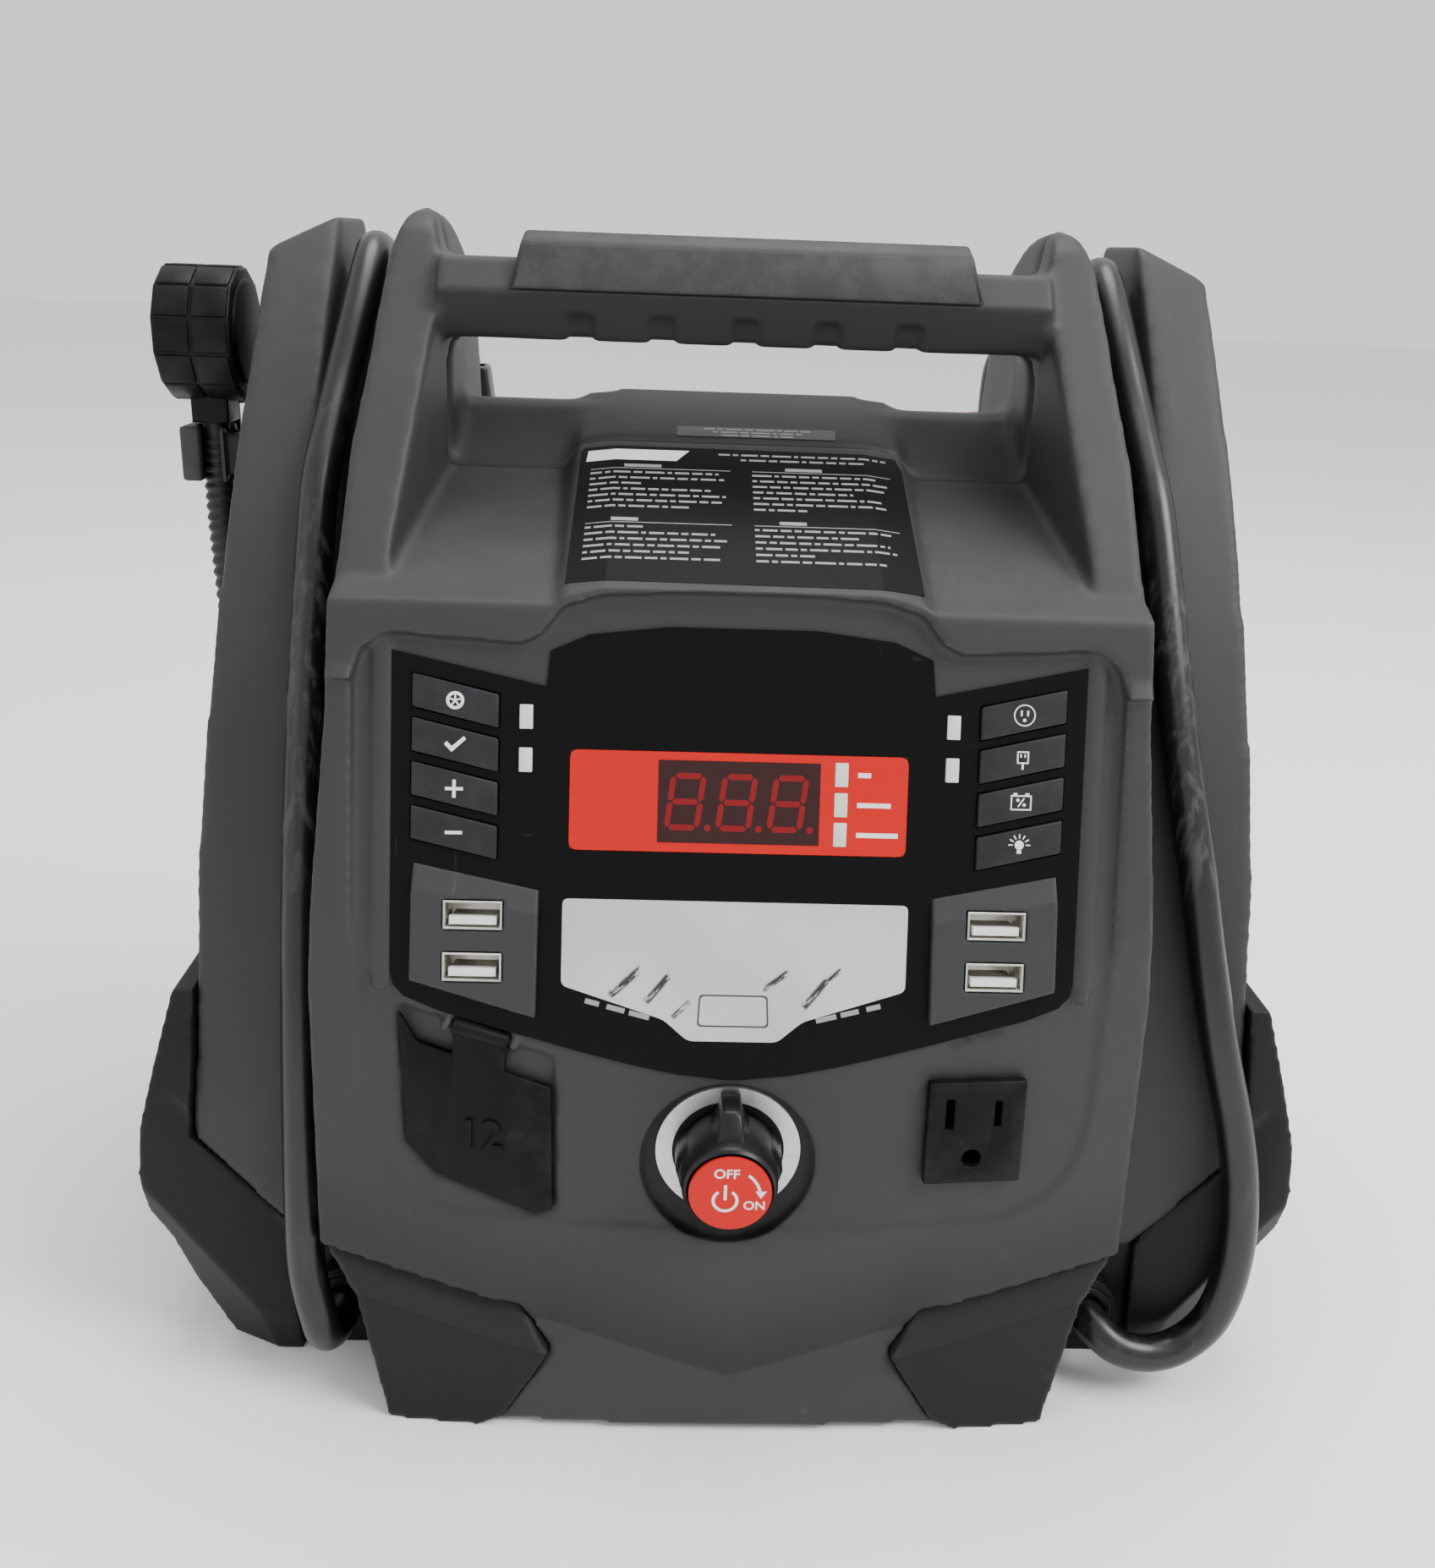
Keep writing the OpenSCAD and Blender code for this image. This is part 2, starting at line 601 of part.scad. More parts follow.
module rear_shell()
    color("dimgray") difference() {
        union() {
            difference() {
                union() {
                    intersection() {
                        union() {
                            rear_core();
                            wings();
                            rear_lower();
                        }
                        before_rear();
                    }
                    intersection() { pillars(); rear_half(seam); }
                    intersection() { hump(); rear_half(seam); }
                }
                front_space();
                rear_cavity();
                both() wing_cavity();
                // handle gap, clear through to the back
                difference() {
                    side_prism([[-10, 256], [90, 246], [90, 330], [-10, 330]], -gap_half_w + eps,
                        gap_half_w - eps);
                    hump();
                    rear_core();
                }
                // hollow under the saddle, and the grooves that lead the cables down the back
                both() side_prism([[wing_at(200) + 12, 200], [wing_at(240) + 12, 240],
                    [38, saddle_z - wall - 1],
                    [48, saddle_z - wall - 1], [56, 275], [56, 200]], gap_half_w + 13, wing_in - wall);
                both() translate([wing_in - 19, 60, 180]) cube([19, 60, 120]);
                both() front_prism(clamp_bay, clamp_y, 120);
            }
            intersection() { handle_bar(); rear_half(seam); }
            clamp_posts();
            for (p = screw_places) if (p[1] < 90) on_rear(p[0], p[1])
                translate([0, 0, -screw_boss_l]) cylinder(h = screw_boss_l - 1, r = screw_r + 3);
            // spindle that carries the fan
            translate([fan_x[0] - 1, fan_y, fan_z]) rotate([0, 90, 0]) cylinder(h = 24, r = fan_pin_r);
            translate([fan_x[1] + 1, fan_y, fan_z]) rotate([0, 90, 0]) cylinder(h = spindle_foot_l, r = 6);
        }
        translate([0, -seam, 0]) intersection() {
            translate([0, 0, -wall - 0.5]) hump(0, -wall);
            translate([-60, -40, 190]) cube([120, 58, 100]);
        }
        on_rear(inlet_x, inlet_z) translate([-inlet_w / 2, -inlet_h / 2, -8]) cube([inlet_w, inlet_h, 20]);
        on_rear(lamp_x, lamp_z) translate([0, 0, -20]) cylinder(h = 30, r = lamp_r + fit);
        for (p = screw_places) on_rear(p[0], p[1]) translate([0, 0, -1.8])
            cylinder(h = 10, r = screw_head_r + 0.4);
        for (p = screw_places) on_rear(p[0], p[1]) translate([0, 0, 1 - screw_boss_l])
            cylinder(h = 40, r = screw_r + 0.1);
        fan_vents(-wing_mid_w);
        translate([-wing_mid_w - 10, fitting_y, fitting_z]) rotate([0, 90, 0])
            cylinder(h = 20, r = fitting_r + 0.1);
        gland_seats();
    }

// ---------- base, bumpers and grip ----------
// flat pad under the middle, level with the feet
pad_l = 120;
pad_d = 70;
module base_plate()
    color("black") {
        plate();
        translate([-pad_l / 2, -pad_d / 2, 0]) cube([pad_l, pad_d, case_bottom_z + base_t / 2]);
    }

module plate()
    intersection() {
        plan_prism([[-front_half_w + wall + seam, -110], [front_half_w - wall - seam, -110],
            [front_half_w - wall - seam, rear_at(5) - wall - 1],
                [-front_half_w + wall + seam, rear_at(5) - wall - 1]],
            case_bottom_z, case_bottom_z + base_t);
        behind_bow(bow_step + wall + seam);
        // clear of the feet
        difference() {
            cube([400, 400, 40], center = true);
            both() front_prism(foot_outline, -140, foot_back_y);
        }
    }

foot_rise = 1.3;
bumper_side = [[front_half_w + 11.5, 0], [wing_mid_w - 2, 0], [wing_mid_w + 7, 22],
    [wing_mid_w + 11, 38], [wing_mid_w + 16, 46], [wing_mid_w + 17, 60], [wing_mid_w + 16, 73],
    [wing_mid_w + 12, 90], [wing_mid_w + 6.5, 111],
    [wing_mid_w + 0.8, 111], [wing_mid_w + 1.2 + seam, 92], [wing_mid_w + 3 + seam, 69.5 - seam],
    wing_seam[1] + [seam, -seam]];
bumper_front_y = -77.5;
bumper_profile = [[bumper_front_y + 4, 0], [bumper_front_y, 18], [bumper_front_y, 50],
    [wing_at(80) - 3, 80],
    [wing_at(110) - 1.5, 112], [-30, 112], [-2, 76], [52, 76], [72, 100], [rear_at(100) + 2, 100],
        [rear_at(0) + 2, 0]];
bumper_crease = [wing_mid_w - 8.7, 22.9];
bumper_crease_turn = 54.9;
gland_x = front_half_w - 2.5;
gland_z = 20;
gland_r = 8;
gland_y = -78;
gland_l = 20;

module bumper() {
    // side block, with its facet beside the wing and its undercut below
    difference() {
        intersection() {
            front_prism(bumper_side, -90, 110);
            side_prism(bumper_profile, 60, 170);
        }
        translate([bumper_crease[0], bumper_front_y, bumper_crease[1]])
            rotate([0, -bumper_crease_turn, 0]) {
            rotate([31, 0, 0]) translate([-100, -40, -80]) cube([200, 40, 80]);
            rotate([-14, 0, 0]) translate([-100, -40, 0]) cube([60 + 100, 40, 22]);
        }
    }
    difference() {
        union() {
            // front foot
            difference() {
                intersection() {
                    front_prism([[front_half_w - seam, 50.2], [53.8, 35.7], [45.6, 23], [57.9, 3.2],
                        [64.6, 0],
                        [front_half_w - 17.7, 0], [front_half_w - 9.5, 37]], -120, foot_back_y - seam);
                    behind_bow(-foot_rise);
                }
                // its upper chamfer
                translate([54.5, bow_at(54.5, 26) - foot_rise - 0.2, 26]) rotate([0, -14.6, 0])
                    rotate([-16, 0, 0])
                    rotate([0, 0, 5]) translate([-60, -40, 0]) cube([160, 40, 40]);
            }
            // web that joins the foot to the side block and carries the gland
            front_prism([[80, 0], [80, 40], [front_half_w - seam, 50.2],
                [front_half_w - seam, wing_foot[1] - seam],
                [front_half_w + 11.7, wing_foot[1] - seam], [front_half_w + 11.7, 0]], -70,
                foot_back_y - 2 * seam);
        }
        translate([gland_x, 0, gland_z]) rotate([90, 0, 0]) cylinder(h = 120, r = gland_r + fit);
    }
}

module bumper_left() color("black") on_left() bumper();
module bumper_right() color("black") bumper();

module handle_grip()
    color("dimgray") difference() {
        intersection() {
            side_prism([[bar_mid_y - bar_d / 2 - 2, bar_bottom_z + 13],
                [bar_mid_y - bar_d / 2 + 3.6, bar_bottom_z + bar_h + pad_rise - 2.5],
                [bar_mid_y - bar_d / 2 + 8, bar_bottom_z + bar_h + pad_rise],
                    [bar_mid_y + bar_d / 2 - 8, bar_bottom_z + bar_h + pad_rise],
                [bar_mid_y + bar_d / 2 - 3.6, bar_bottom_z + bar_h + pad_rise - 2.5],
                    [bar_mid_y + bar_d / 2 + 2, bar_bottom_z + 13]],
                -80, 80);
            front_prism(mirrored([[pad_half_l, bar_bottom_z + 12], [pad_half_l - 1, bar_bottom_z + 14],
                [pad_half_l - 4.5, bar_bottom_z + bar_h + pad_rise + 1]]), -40, 60);
        }
        translate([0, bar_mid_y, 0]) side_prism([for (p = bar_profile)
            [(p[0] - bar_mid_y) * (1 + 2 * seam / bar_d),
                p[1] > bar_bottom_z + 15 ? p[1] + seam : p[1]]], -90, 90);
    }

// ---------- control panel ----------
overlay_outline = mirrored([[85.3, -44], [84.6, -47.5], [82, -50.4],
    for (x = [74:-12:2]) [x, -70.3 + 0.3 * (sqrt(x * x + 484) - 22)]]);
label_outline_w = 41.8;
label_v = [-13, 11.8];
plate_outline = mirrored([[11.2, -60.5], [17.4, -55.2], [43, -47], [43, -25.2]]);

module overlay_shape()
    difference() {
        polygon(concat([[-85.6, 35], [-47.9, 27], [-47, 35.8], [-37.5, 40], [-18, 42.3], [18, 42.3],
            [37.5, 40],
            [47, 35.8], [47.9, 27], [85.6, 35]], overlay_outline));
        translate([-label_outline_w - 0.1, label_v[0] - 0.1])
            square([2 * label_outline_w + 0.2, label_v[1] - label_v[0] + 0.2]);
        polygon([for (p = plate_outline) [p[0] * 1.003, p[1]]]);
        for (s = [-1, 1]) polygon([for (p = pod_outline) [s * (p[0] + (p[0] > 60 ? 0.2 : -0.2)),
            p[1] + (p[1] > -30 ? 0.2 : -0.2)]]);
    }

module panel_overlay()
    color("black") on_panel() difference() {
        translate([0, 0, 0.02]) linear_extrude(overlay_t) overlay_shape();
        all_key_holes(key_gap, -2, 8);
        light_holes(0.2, -2, 8);
    }

module display_label()
    color("tomato") on_panel() difference() {
        translate([-label_outline_w, label_v[0], 0.02])
            cube([2 * label_outline_w, label_v[1] - label_v[0], overlay_t + 0.1]);
        window_hole(0.1, -2, 8);
        light_holes(0.2, -2, 8);
    }

module display_window()
    color("maroon") on_panel() window_hole(0, -1, overlay_t + 0.25);

module display_module()
    color("dimgray") on_panel() window_hole(1.5, -wall - 7, -wall - 0.2);

module indicator_lenses()
    color("lightgray") on_panel() light_holes(0, -wall - 1, overlay_t + 0.35);

module nameplate()
    color("silver") on_panel() translate([0, 0, 0.02]) linear_extrude(overlay_t + 0.1)
        polygon(plate_outline);

board_depth = 13;
module control_board()
    color("darkgreen") on_panel() translate([-92, -58, -board_depth]) cube([184, 94, 1.6]);

pod_rise = 3.3;
module usb_pod(side)
    on_panel() difference() {
        translate([0, 0, 0.02]) linear_extrude(pod_rise)
            polygon([for (p = pod_outline) [side * p[0], p[1]]]);
        // upper face slopes back to the panel
        translate([side * 64.5, -26.2, pod_rise]) rotate([0, 0, side * 11.5]) rotate([-20, 0, 0])
            translate([-30, 0, 0]) cube([60, 30, 20]);
        usb_holes(0.25, -2, 8);
    }

module usb_pod_left() color("dimgray") usb_pod(-1);
module usb_pod_right() color("dimgray") usb_pod(1);

usb_wall = 0.5;
module usb_port(side, row)
    color("silver") on_panel() translate([side * usb_x, usb_v(row), pod_rise - usb_depth + 0.2]) {
        difference() {
            translate([-usb_w / 2, -usb_h / 2, 0]) cube([usb_w, usb_h, usb_depth]);
            translate([-usb_w / 2 + usb_wall, -usb_h / 2 + usb_wall, 1.5])
                cube([usb_w - 2 * usb_wall, usb_h - 2 * usb_wall, usb_depth]);
        }
        translate([-usb_w / 2 + 1.6, -usb_h / 2 + 1.1, 1]) cube([usb_w - 3.2, 1.9, usb_depth - 2]);
    }

module usb_port_left_top() usb_port(-1, 0);
module usb_port_left_low() usb_port(-1, 1);
module usb_port_right_top() usb_port(1, 0);
module usb_port_right_low() usb_port(1, 1);

module key(side, row)
    color([0.18, 0.19, 0.2]) on_panel() {
        key_prism(side, row, 0, -wall - 1.4, key_rise);
        key_prism(side, row, key_gap + 0.3, -wall - 2.6, -wall - 1.4);
        translate([side * key_x, key_v(row), -board_depth + 1.6 + key_travel + 0.2]) cylinder(h = 6, r = 2);
    }

module key_tyre() key(-1, 0);
module key_set() key(-1, 1);
module key_plus() key(-1, 2);
module key_minus() key(-1, 3);
module key_outlet() key(1, 0);
module key_usb() key(1, 1);
module key_battery() key(1, 2);
module key_light() key(1, 3);

// ---------- switch, sockets ----------

dial_t = 1;
knob_front_y = dial_floor_y - dish_depth - knob_l;
switch_front_y = dial_floor_y + wall + fit;

// a place on the knob's axis, with z out of the case
module on_knob(y) translate([0, y, knob_z]) rotate([90, 0, 0]) children();

module power_knob()
    color("black") {
        on_knob(dial_floor_y - fit) cylinder(h = dial_floor_y - fit - knob_front_y, r1 = knob_r,
            r2 = knob_r - 2.5);
        on_knob(switch_front_y + 16) cylinder(h = switch_front_y + 16 - dial_floor_y + 4, r = knob_shaft_r);
        // pointer
        on_knob(dial_floor_y - fit - dial_t - 0.4) linear_extrude(knob_l - 3.2)
            polygon([[-4.2, 4], [4.2, 4], [2.6, dial_r - 0.8], [-2.6, dial_r - 0.8]]);
    }

module knob_disc() color("tomato") on_knob(knob_front_y - 0.02) cylinder(h = 0.9, r = knob_r - 3.8);

module knob_dial()
    color("silver") on_knob(dial_floor_y - 0.02) difference() {
        cylinder(h = dial_t, r = dial_r);
        translate([0, 0, -1]) cylinder(h = 4, r = knob_r + fit);
    }

module battery_switch()
    color("black") on_knob(switch_front_y + 34) difference() {
        union() {
            cylinder(h = 34, r = dial_r);
            translate([-8, -26, 4]) cube([16, 52, 12]);
        }
        translate([0, 0, 17]) cylinder(h = 30, r = knob_shaft_r + run);
    }

module socket_cover()
    color("black") difference() {
        union() {
            difference() {
                intersection() {
                    front_prism(cover_outline, -120, -60);
                    behind_bow(bow_step - cover_rise);
                }
                behind_bow(bow_step - cover_rise + cover_t);
            }
            // hinge leaf and barrel
            difference() {
                intersection() {
                    front_prism([[-69.4, 117], [-70.2, 106], [-57, 102], [-55.9, 112.8]], -120, -60);
                    behind_bow(bow_step - cover_rise);
                }
                behind_bow(bow_step - cover_rise + 1.6);
            }
            cover_rod(cover_barrel_r);
        }
        cover_rod(cover_pin_r + run, 3);
    }

module cover_pin() color("silver") cover_rod(cover_pin_r, ear_l);

module dc_socket()
    color("black") on_bow(socket_x, socket_z) translate([0, 0, -cover_t + cover_rise - 1.2]) difference() {
        translate([0, 0, -socket_depth - 3]) cylinder(h = socket_depth + 3, r = socket_r + socket_wall);
        translate([0, 0, -socket_depth]) cylinder(h = socket_depth + 1, r = socket_r);
    }

module ac_outlet()
    color("black") on_bow(outlet_x, outlet_z) difference() {
        union() {
            translate([-outlet_w / 2, -outlet_h / 2, fit]) cube([outlet_w, outlet_h, outlet_rise - fit]);
            translate([-outlet_w / 2 + 1.5 + fit, -outlet_h / 2 + 1.5 + fit, -26])
                cube([outlet_w - 3 - 2 * fit, outlet_h - 3 - 2 * fit, 27]);
        }
        translate([-6.9 - 1.1, 1, -18]) cube([2.2, 8.6, 30]);
        translate([5.7 - 0.9, 1.6, -18]) cube([1.8, 7.2, 30]);
        translate([-0.5, -7.3, -18]) cylinder(h = 30, r = 2.5);
    }

// ---------- cables ----------
function unit(v) = v / norm(v);
function way(points, i) = unit(points[min(i + 1, len(points) - 1)] - points[max(i - 1, 0)]);
function turned(n, t) = unit(n - (n * t) * t);
// cross directions carried along the route without twist
function carried(points, i = 0, n = [0, 0, 1]) =
    let (here = turned(n, way(points, i)))
    i == len(points) - 1 ? [here] : concat([here], carried(points, i + 1, here));
function ring(p, t, n, r, sides) = [for (k = [0:sides - 1])
    p + r * cos(360 * k / sides) * n + r * sin(360 * k / sides) * cross(t, n)];
// a point on the smooth curve through the route
function on_curve(p, u) =
    let (i = min(floor(u), len(p) - 2), f = u - i,
        a = p[max(i - 1, 0)], b = p[i], c = p[i + 1], d = p[min(i + 2, len(p) - 1)])
    0.5 * (2 * b + (c - a) * f + (2 * a - 5 * b + 4 * c - d) * f * f + (3 * b - a - 3 * c + d) * f * f * f);
function smooth(p, steps) = [for (k = [0:(len(p) - 1) * steps]) on_curve(p, k / steps)];

module tube(points, radii, sides = 12, bore = 0, start = [0, 0, 1]) {
    cross_way = carried(points, 0, start);
    count = len(points);
    outer = [for (i = [0:count - 1]) each ring(points[i], way(points, i), cross_way[i], radii[i], sides)];
    inner = bore == 0 ? [] : [for (i = [0:count - 1])
        each ring(points[i], way(points, i), cross_way[i], bore / 2, sides)];
    off = count * sides;
    walls = [for (i = [0:count - 2], k = [0:sides - 1]) let (j = (k + 1) % sides)
        each [[i * sides + k, (i + 1) * sides + k, (i + 1) * sides + j],
            [i * sides + k, (i + 1) * sides + j, i * sides + j]]];
    inner_walls = bore == 0 ? [] : [for (f = walls) [f[2] + off, f[1] + off, f[0] + off]];
    last = (count - 1) * sides;
    ends = bore == 0
        ? concat([for (k = [1:sides - 2]) [0, k, k + 1]],
            [for (k = [1:sides - 2]) [last, last + k + 1, last + k]])
        : [for (k = [0:sides - 1]) let (j = (k + 1) % sides) each [[k, j, j + off], [k, j + off, k + off],
            [last + k, last + j + off, last + j], [last + k, last + k + off, last + j + off]]];
    polyhedron(concat(outer, inner), concat(walls, inner_walls, ends));
}

// the hole in the case wall behind each gland
module gland_seats()
    both() translate([gland_x, gland_y + gland_l + fit, gland_z]) rotate([90, 0, 0])
        cylinder(h = gland_l, r = gland_r + fit);

module cable_gland()
    translate([gland_x, gland_y, gland_z]) rotate([-90, 0, 0]) difference() {
        union() {
            cylinder(h = gland_l, r = gland_r);
            translate([0, 0, 2]) cylinder(h = 6, r = gland_r + 1.5);
        }
        translate([0, 0, -1]) cylinder(h = 30, r = cable_d / 2 + fit);
    }
module cable_gland_left() color("black") on_left() cable_gland();
module cable_gland_right() color("black") cable_gland();

// over the saddle and down to the clamp's handle
cable_end_x = 86.3;
cable_end_y = clamp_y + 0.5 + clamp_t / 2;
cable_back = [[105.7, 28, 292.3], [105.7, 37, 296.4], [105.5, 47, 295.4], [104, 58, 291], [100, 68, 284.5],
    [94, 75, 278], [cable_end_x + 2, cable_end_y - 0.5, 270.5], [cable_end_x, cable_end_y, 262]];
cable_left_end = [[cable_end_x, cable_end_y, 250]];
cable_right_end = [[cable_end_x, cable_end_y, 250 - clamp_right_drop]];
cable_right_route = concat([[gland_x, -60, 20], [gland_x, -74, 20], [106, -81.5, 18.5], [112, -86, 15],
    [121, -86.5, 13.2],
    [130, -85.5, 15.5], [137.5, -84.5, 23], [141, -84, 35], [142, -83, 50], [141, -80.5, 66],
        [138, -77.5, 82],
    [132, -73.5, 104], [127, -68, 127], [123, -61.5, 150], [119, -53, 173], [116, -43.6, 195],
        [114, -32.6, 217],
    [112.2, -20.6, 238], [110.6, -9.4, 251], [109.2, 1.8, 263], [107, 15, 279]], cable_back,
    cable_right_end);
cable_left_route = concat([[gland_x, -60, 20], [gland_x, -73, 19.6], [105.5, -81, 16.6],
    [107.3, -87.5, 18], [108.6, -90, 27],
    [111.3, -87.5, 41], [112.2, -83.2, 62], [112.4, -78.5, 84], [112.4, -73.8, 106], [112.4, -68, 128],
        [112.3, -61.4, 150],
    [112.2, -53, 173], [112.1, -43.6, 195], [112, -32.6, 217], [111.8, -20.6, 238], [110.6, -9.4, 251],
    [109.2, 1.8, 263], [107, 15, 279]], cable_back, cable_left_end);

module jumper_cable(route) {
    points = smooth(route, 2);
    tube(points, [for (p = points) cable_d / 2], 12);
}
module jumper_cable_left() color("black") on_left() jumper_cable(cable_left_route);
module jumper_cable_right() color("black") jumper_cable(cable_right_route);

// ---------- clamps ----------
clamp_y0 = clamp_y + 0.5;
ear_r = 9;
jaw_gap = post_w / 2 + 0.4;
// one half in (x, z), measured from the pivot; the other half is its mirror image but for the handle
jaw_edge = [[4, -12], [9, -18], [10.5, -30], [jaw_gap, -42], [jaw_gap, -62], [jaw_gap + 2, -66],
    [13, -62], [20, -46],
    [22, -28], [18, -8]];
jaw_last = len(jaw_edge) - 1;
fixed_edge = concat([[3, 0], [4, 12], [9.5, 44], [14.6, 84], [30, 84], [28, 44], [21, 12]],
    [for (i = [jaw_last:-1:0]) jaw_edge[i]]);
moving_edge = concat([[-4, 0], [-8, 12], [-13, 44], [-16, 70], [-31, 70], [-29, 44], [-21, 12]],
    [for (i = [jaw_last:-1:0]) [-jaw_edge[i][0], jaw_edge[i][1]]]);

module clamp_plate(points, y0, y1)
    translate([clamp_x, 0, clamp_pivot_z]) front_prism(points, y0, y1);
module clamp_round(r, y0, y1)
    translate([clamp_x, y1, clamp_pivot_z]) rotate([90, 0, 0]) cylinder(h = y1 - y0, r = r);

ear_t = 2.6;
ear_gap = 0.3;
module clamp_fixed()
    difference() {
        union() {
            difference() {
                clamp_plate(fixed_edge, clamp_y0, clamp_y0 + clamp_t);
                clamp_round(ear_r + 0.8, clamp_y0 + ear_t, clamp_y0 + clamp_t - ear_t);
            }
            clamp_round(ear_r, clamp_y0, clamp_y0 + ear_t);
            clamp_round(ear_r, clamp_y0 + clamp_t - ear_t, clamp_y0 + clamp_t);
        }
        clamp_round(clamp_pin_r + 0.02, clamp_y0 - 1, clamp_y0 + clamp_t + 1);
        translate([cable_end_x, cable_end_y, 248]) cylinder(h = 40, r = cable_d / 2 + 0.15);
    }

module clamp_moving()
    difference() {
        union() {
            difference() {
                clamp_plate(moving_edge, clamp_y0, clamp_y0 + clamp_t);
                clamp_round(ear_r + 0.8, clamp_y0 - 1, clamp_y0 + ear_t + ear_gap);
                clamp_round(ear_r + 0.8, clamp_y0 + clamp_t - ear_t - ear_gap, clamp_y0 + clamp_t + 1);
            }
            clamp_round(ear_r, clamp_y0 + ear_t + ear_gap, clamp_y0 + clamp_t - ear_t - ear_gap);
        }
        clamp_round(clamp_pin_r + run, clamp_y0 - 1, clamp_y0 + clamp_t + 1);
        // room for the spring
        clamp_round(clamp_pin_r + 2.2, clamp_y0 + clamp_t / 2 - 1.2, clamp_y0 + clamp_t / 2 + 1.2);
    }

module clamp_pin() clamp_round(clamp_pin_r, clamp_y0, clamp_y0 + clamp_t);
module clamp_spring()
    difference() {
        clamp_round(clamp_pin_r + 1.8, clamp_y0 + clamp_t / 2 - 0.9, clamp_y0 + clamp_t / 2 + 0.9);
        clamp_round(clamp_pin_r + 0.2, clamp_y0, clamp_y0 + clamp_t);
    }

module clamp_left_fixed() color("black") on_left() clamp_fixed();
module clamp_left_moving() color("black") on_left() clamp_moving();
module clamp_left_pin() color("silver") on_left() clamp_pin();
module clamp_right_fixed() color("firebrick") lowered() clamp_fixed();
module clamp_right_moving() color("firebrick") lowered() clamp_moving();
module clamp_right_pin() color("silver") lowered() clamp_pin();
module clamp_springs()
    color("silver") {
        on_left() clamp_spring();
        lowered() clamp_spring();
    }

// ---------- air hose and chuck ----------
hose_y = 40;
chuck_x = -max(wing_mid_w + 15, wing_top_w + 20);
fitting_z = 93;
hose_route = [[chuck_x, hose_y, 252], [chuck_x, hose_y, 236], [chuck_x, hose_y + 0.3, 215],
    [chuck_x + 0.5, hose_y + 1.5, 190],
    [chuck_x + 1, hose_y + 4, 165], [chuck_x + 1.5, hose_y + 7.5, 140], [chuck_x + 2.5, hose_y + 11.5, 118],
    [chuck_x + 6, hose_y + 14.5, 101], [chuck_x + 13, hose_y + 16, fitting_z],
        [chuck_x + 24, hose_y + 16, fitting_z]];
fitting_y = hose_y + 16;
fitting_r = 6.5;

// smooth between the ribs, straight and plain at both ends
module air_hose() {
    rings = 2 * hose_ribs;
    points = [for (k = [0:rings]) on_curve(hose_route, k * (len(hose_route) - 1) / rings)];
    color("black") tube(points, [for (k = [0:rings])
        k < 12 || k > rings - 10 ? hose_d / 2 : (k % 2 == 0 ? hose_d / 2 : hose_rib_d / 2)], 8,
            hose_bore, [1, 0, 0]);
}

module hose_fitting()
    color("black") translate([-wing_mid_w - 7, fitting_y, fitting_z]) rotate([0, 90, 0]) difference() {
        union() {
            cylinder(h = 5, r = fitting_r + 1);
            cylinder(h = 16, r = fitting_r);
        }
        translate([0, 0, -1]) cylinder(h = 30, r = hose_rib_d / 2 + fit);
    }

chuck_neck_w = 11;
valve_r = 3.9;
valve_depth = 14;
lever_pin_r = 1.2;
lever_pin = [hose_y + 13, chuck_z - 17.5];
module chuck_body()
    color("black") difference() {
        union() {
            translate([chuck_x - chuck_w / 2 + 1, hose_y, chuck_z]) rotate([0, 90, 0])
                rotate([0, 0, 15]) cylinder(h = chuck_w - 2, r = chuck_r, $fn = 12);
            translate([chuck_x - chuck_w / 2, hose_y, chuck_z]) rotate([0, 90, 0])
                cylinder(h = chuck_w, r = chuck_r - 4);
            translate([chuck_x - chuck_neck_w / 2, hose_y - 6, 246]) cube([chuck_neck_w, 12, 14]);
            // ears of the lever
            for (s = [-1, 1]) translate([chuck_x + s * 5 - 1.5, lever_pin[0] - 5, lever_pin[1] - 3.5])
                cube([3, 9, 12]);
        }
        translate([chuck_x, hose_y + chuck_r * cos(15) + 1, chuck_z]) rotate([90, 0, 0])
            cylinder(h = valve_depth + 1, r = valve_r);
        translate([chuck_x - 10, lever_pin[0], lever_pin[1]]) rotate([0, 90, 0])
            cylinder(h = 20, r = lever_pin_r + run);
        translate([chuck_x, hose_y, 240]) cylinder(h = 16, r = hose_d / 2 + 0.2);
    }

module chuck_lever()
    color("black") {
        translate([chuck_x - 3.2, lever_pin[0], lever_pin[1]]) rotate([0, 90, 0])
            cylinder(h = 6.4, r = 2.4);
        translate([chuck_x - 6.5, lever_pin[0], lever_pin[1]]) rotate([0, 90, 0])
            cylinder(h = 13, r = lever_pin_r);
        translate([chuck_x - 3.2, lever_pin[0] + 0.2, lever_pin[1] - 30]) cube([6.4, 2.2, 30]);
    }

bracket_z = [229, 245];
module chuck_bracket()
    color("dimgray") difference() {
        union() {
            translate([chuck_x - 9, hose_y - 8, bracket_z[0]]) cube([13, 16, bracket_z[1] - bracket_z[0]]);
            // arm, its end flat against the sloping wall of the wing
            front_prism([for (z = [bracket_z[0] + 2, bracket_z[1] - 2]) [-wing_x(z) - eps, z],
                [chuck_x, bracket_z[1] - 2], [chuck_x, bracket_z[0] + 2]], hose_y - 6, hose_y + 6);
        }
        translate([chuck_x, hose_y, 200]) cylinder(h = 80, r = hose_rib_d / 2 + 0.4);
        translate([chuck_x - 3, hose_y - 20, 200]) cube([6, 20, 80]);
    }

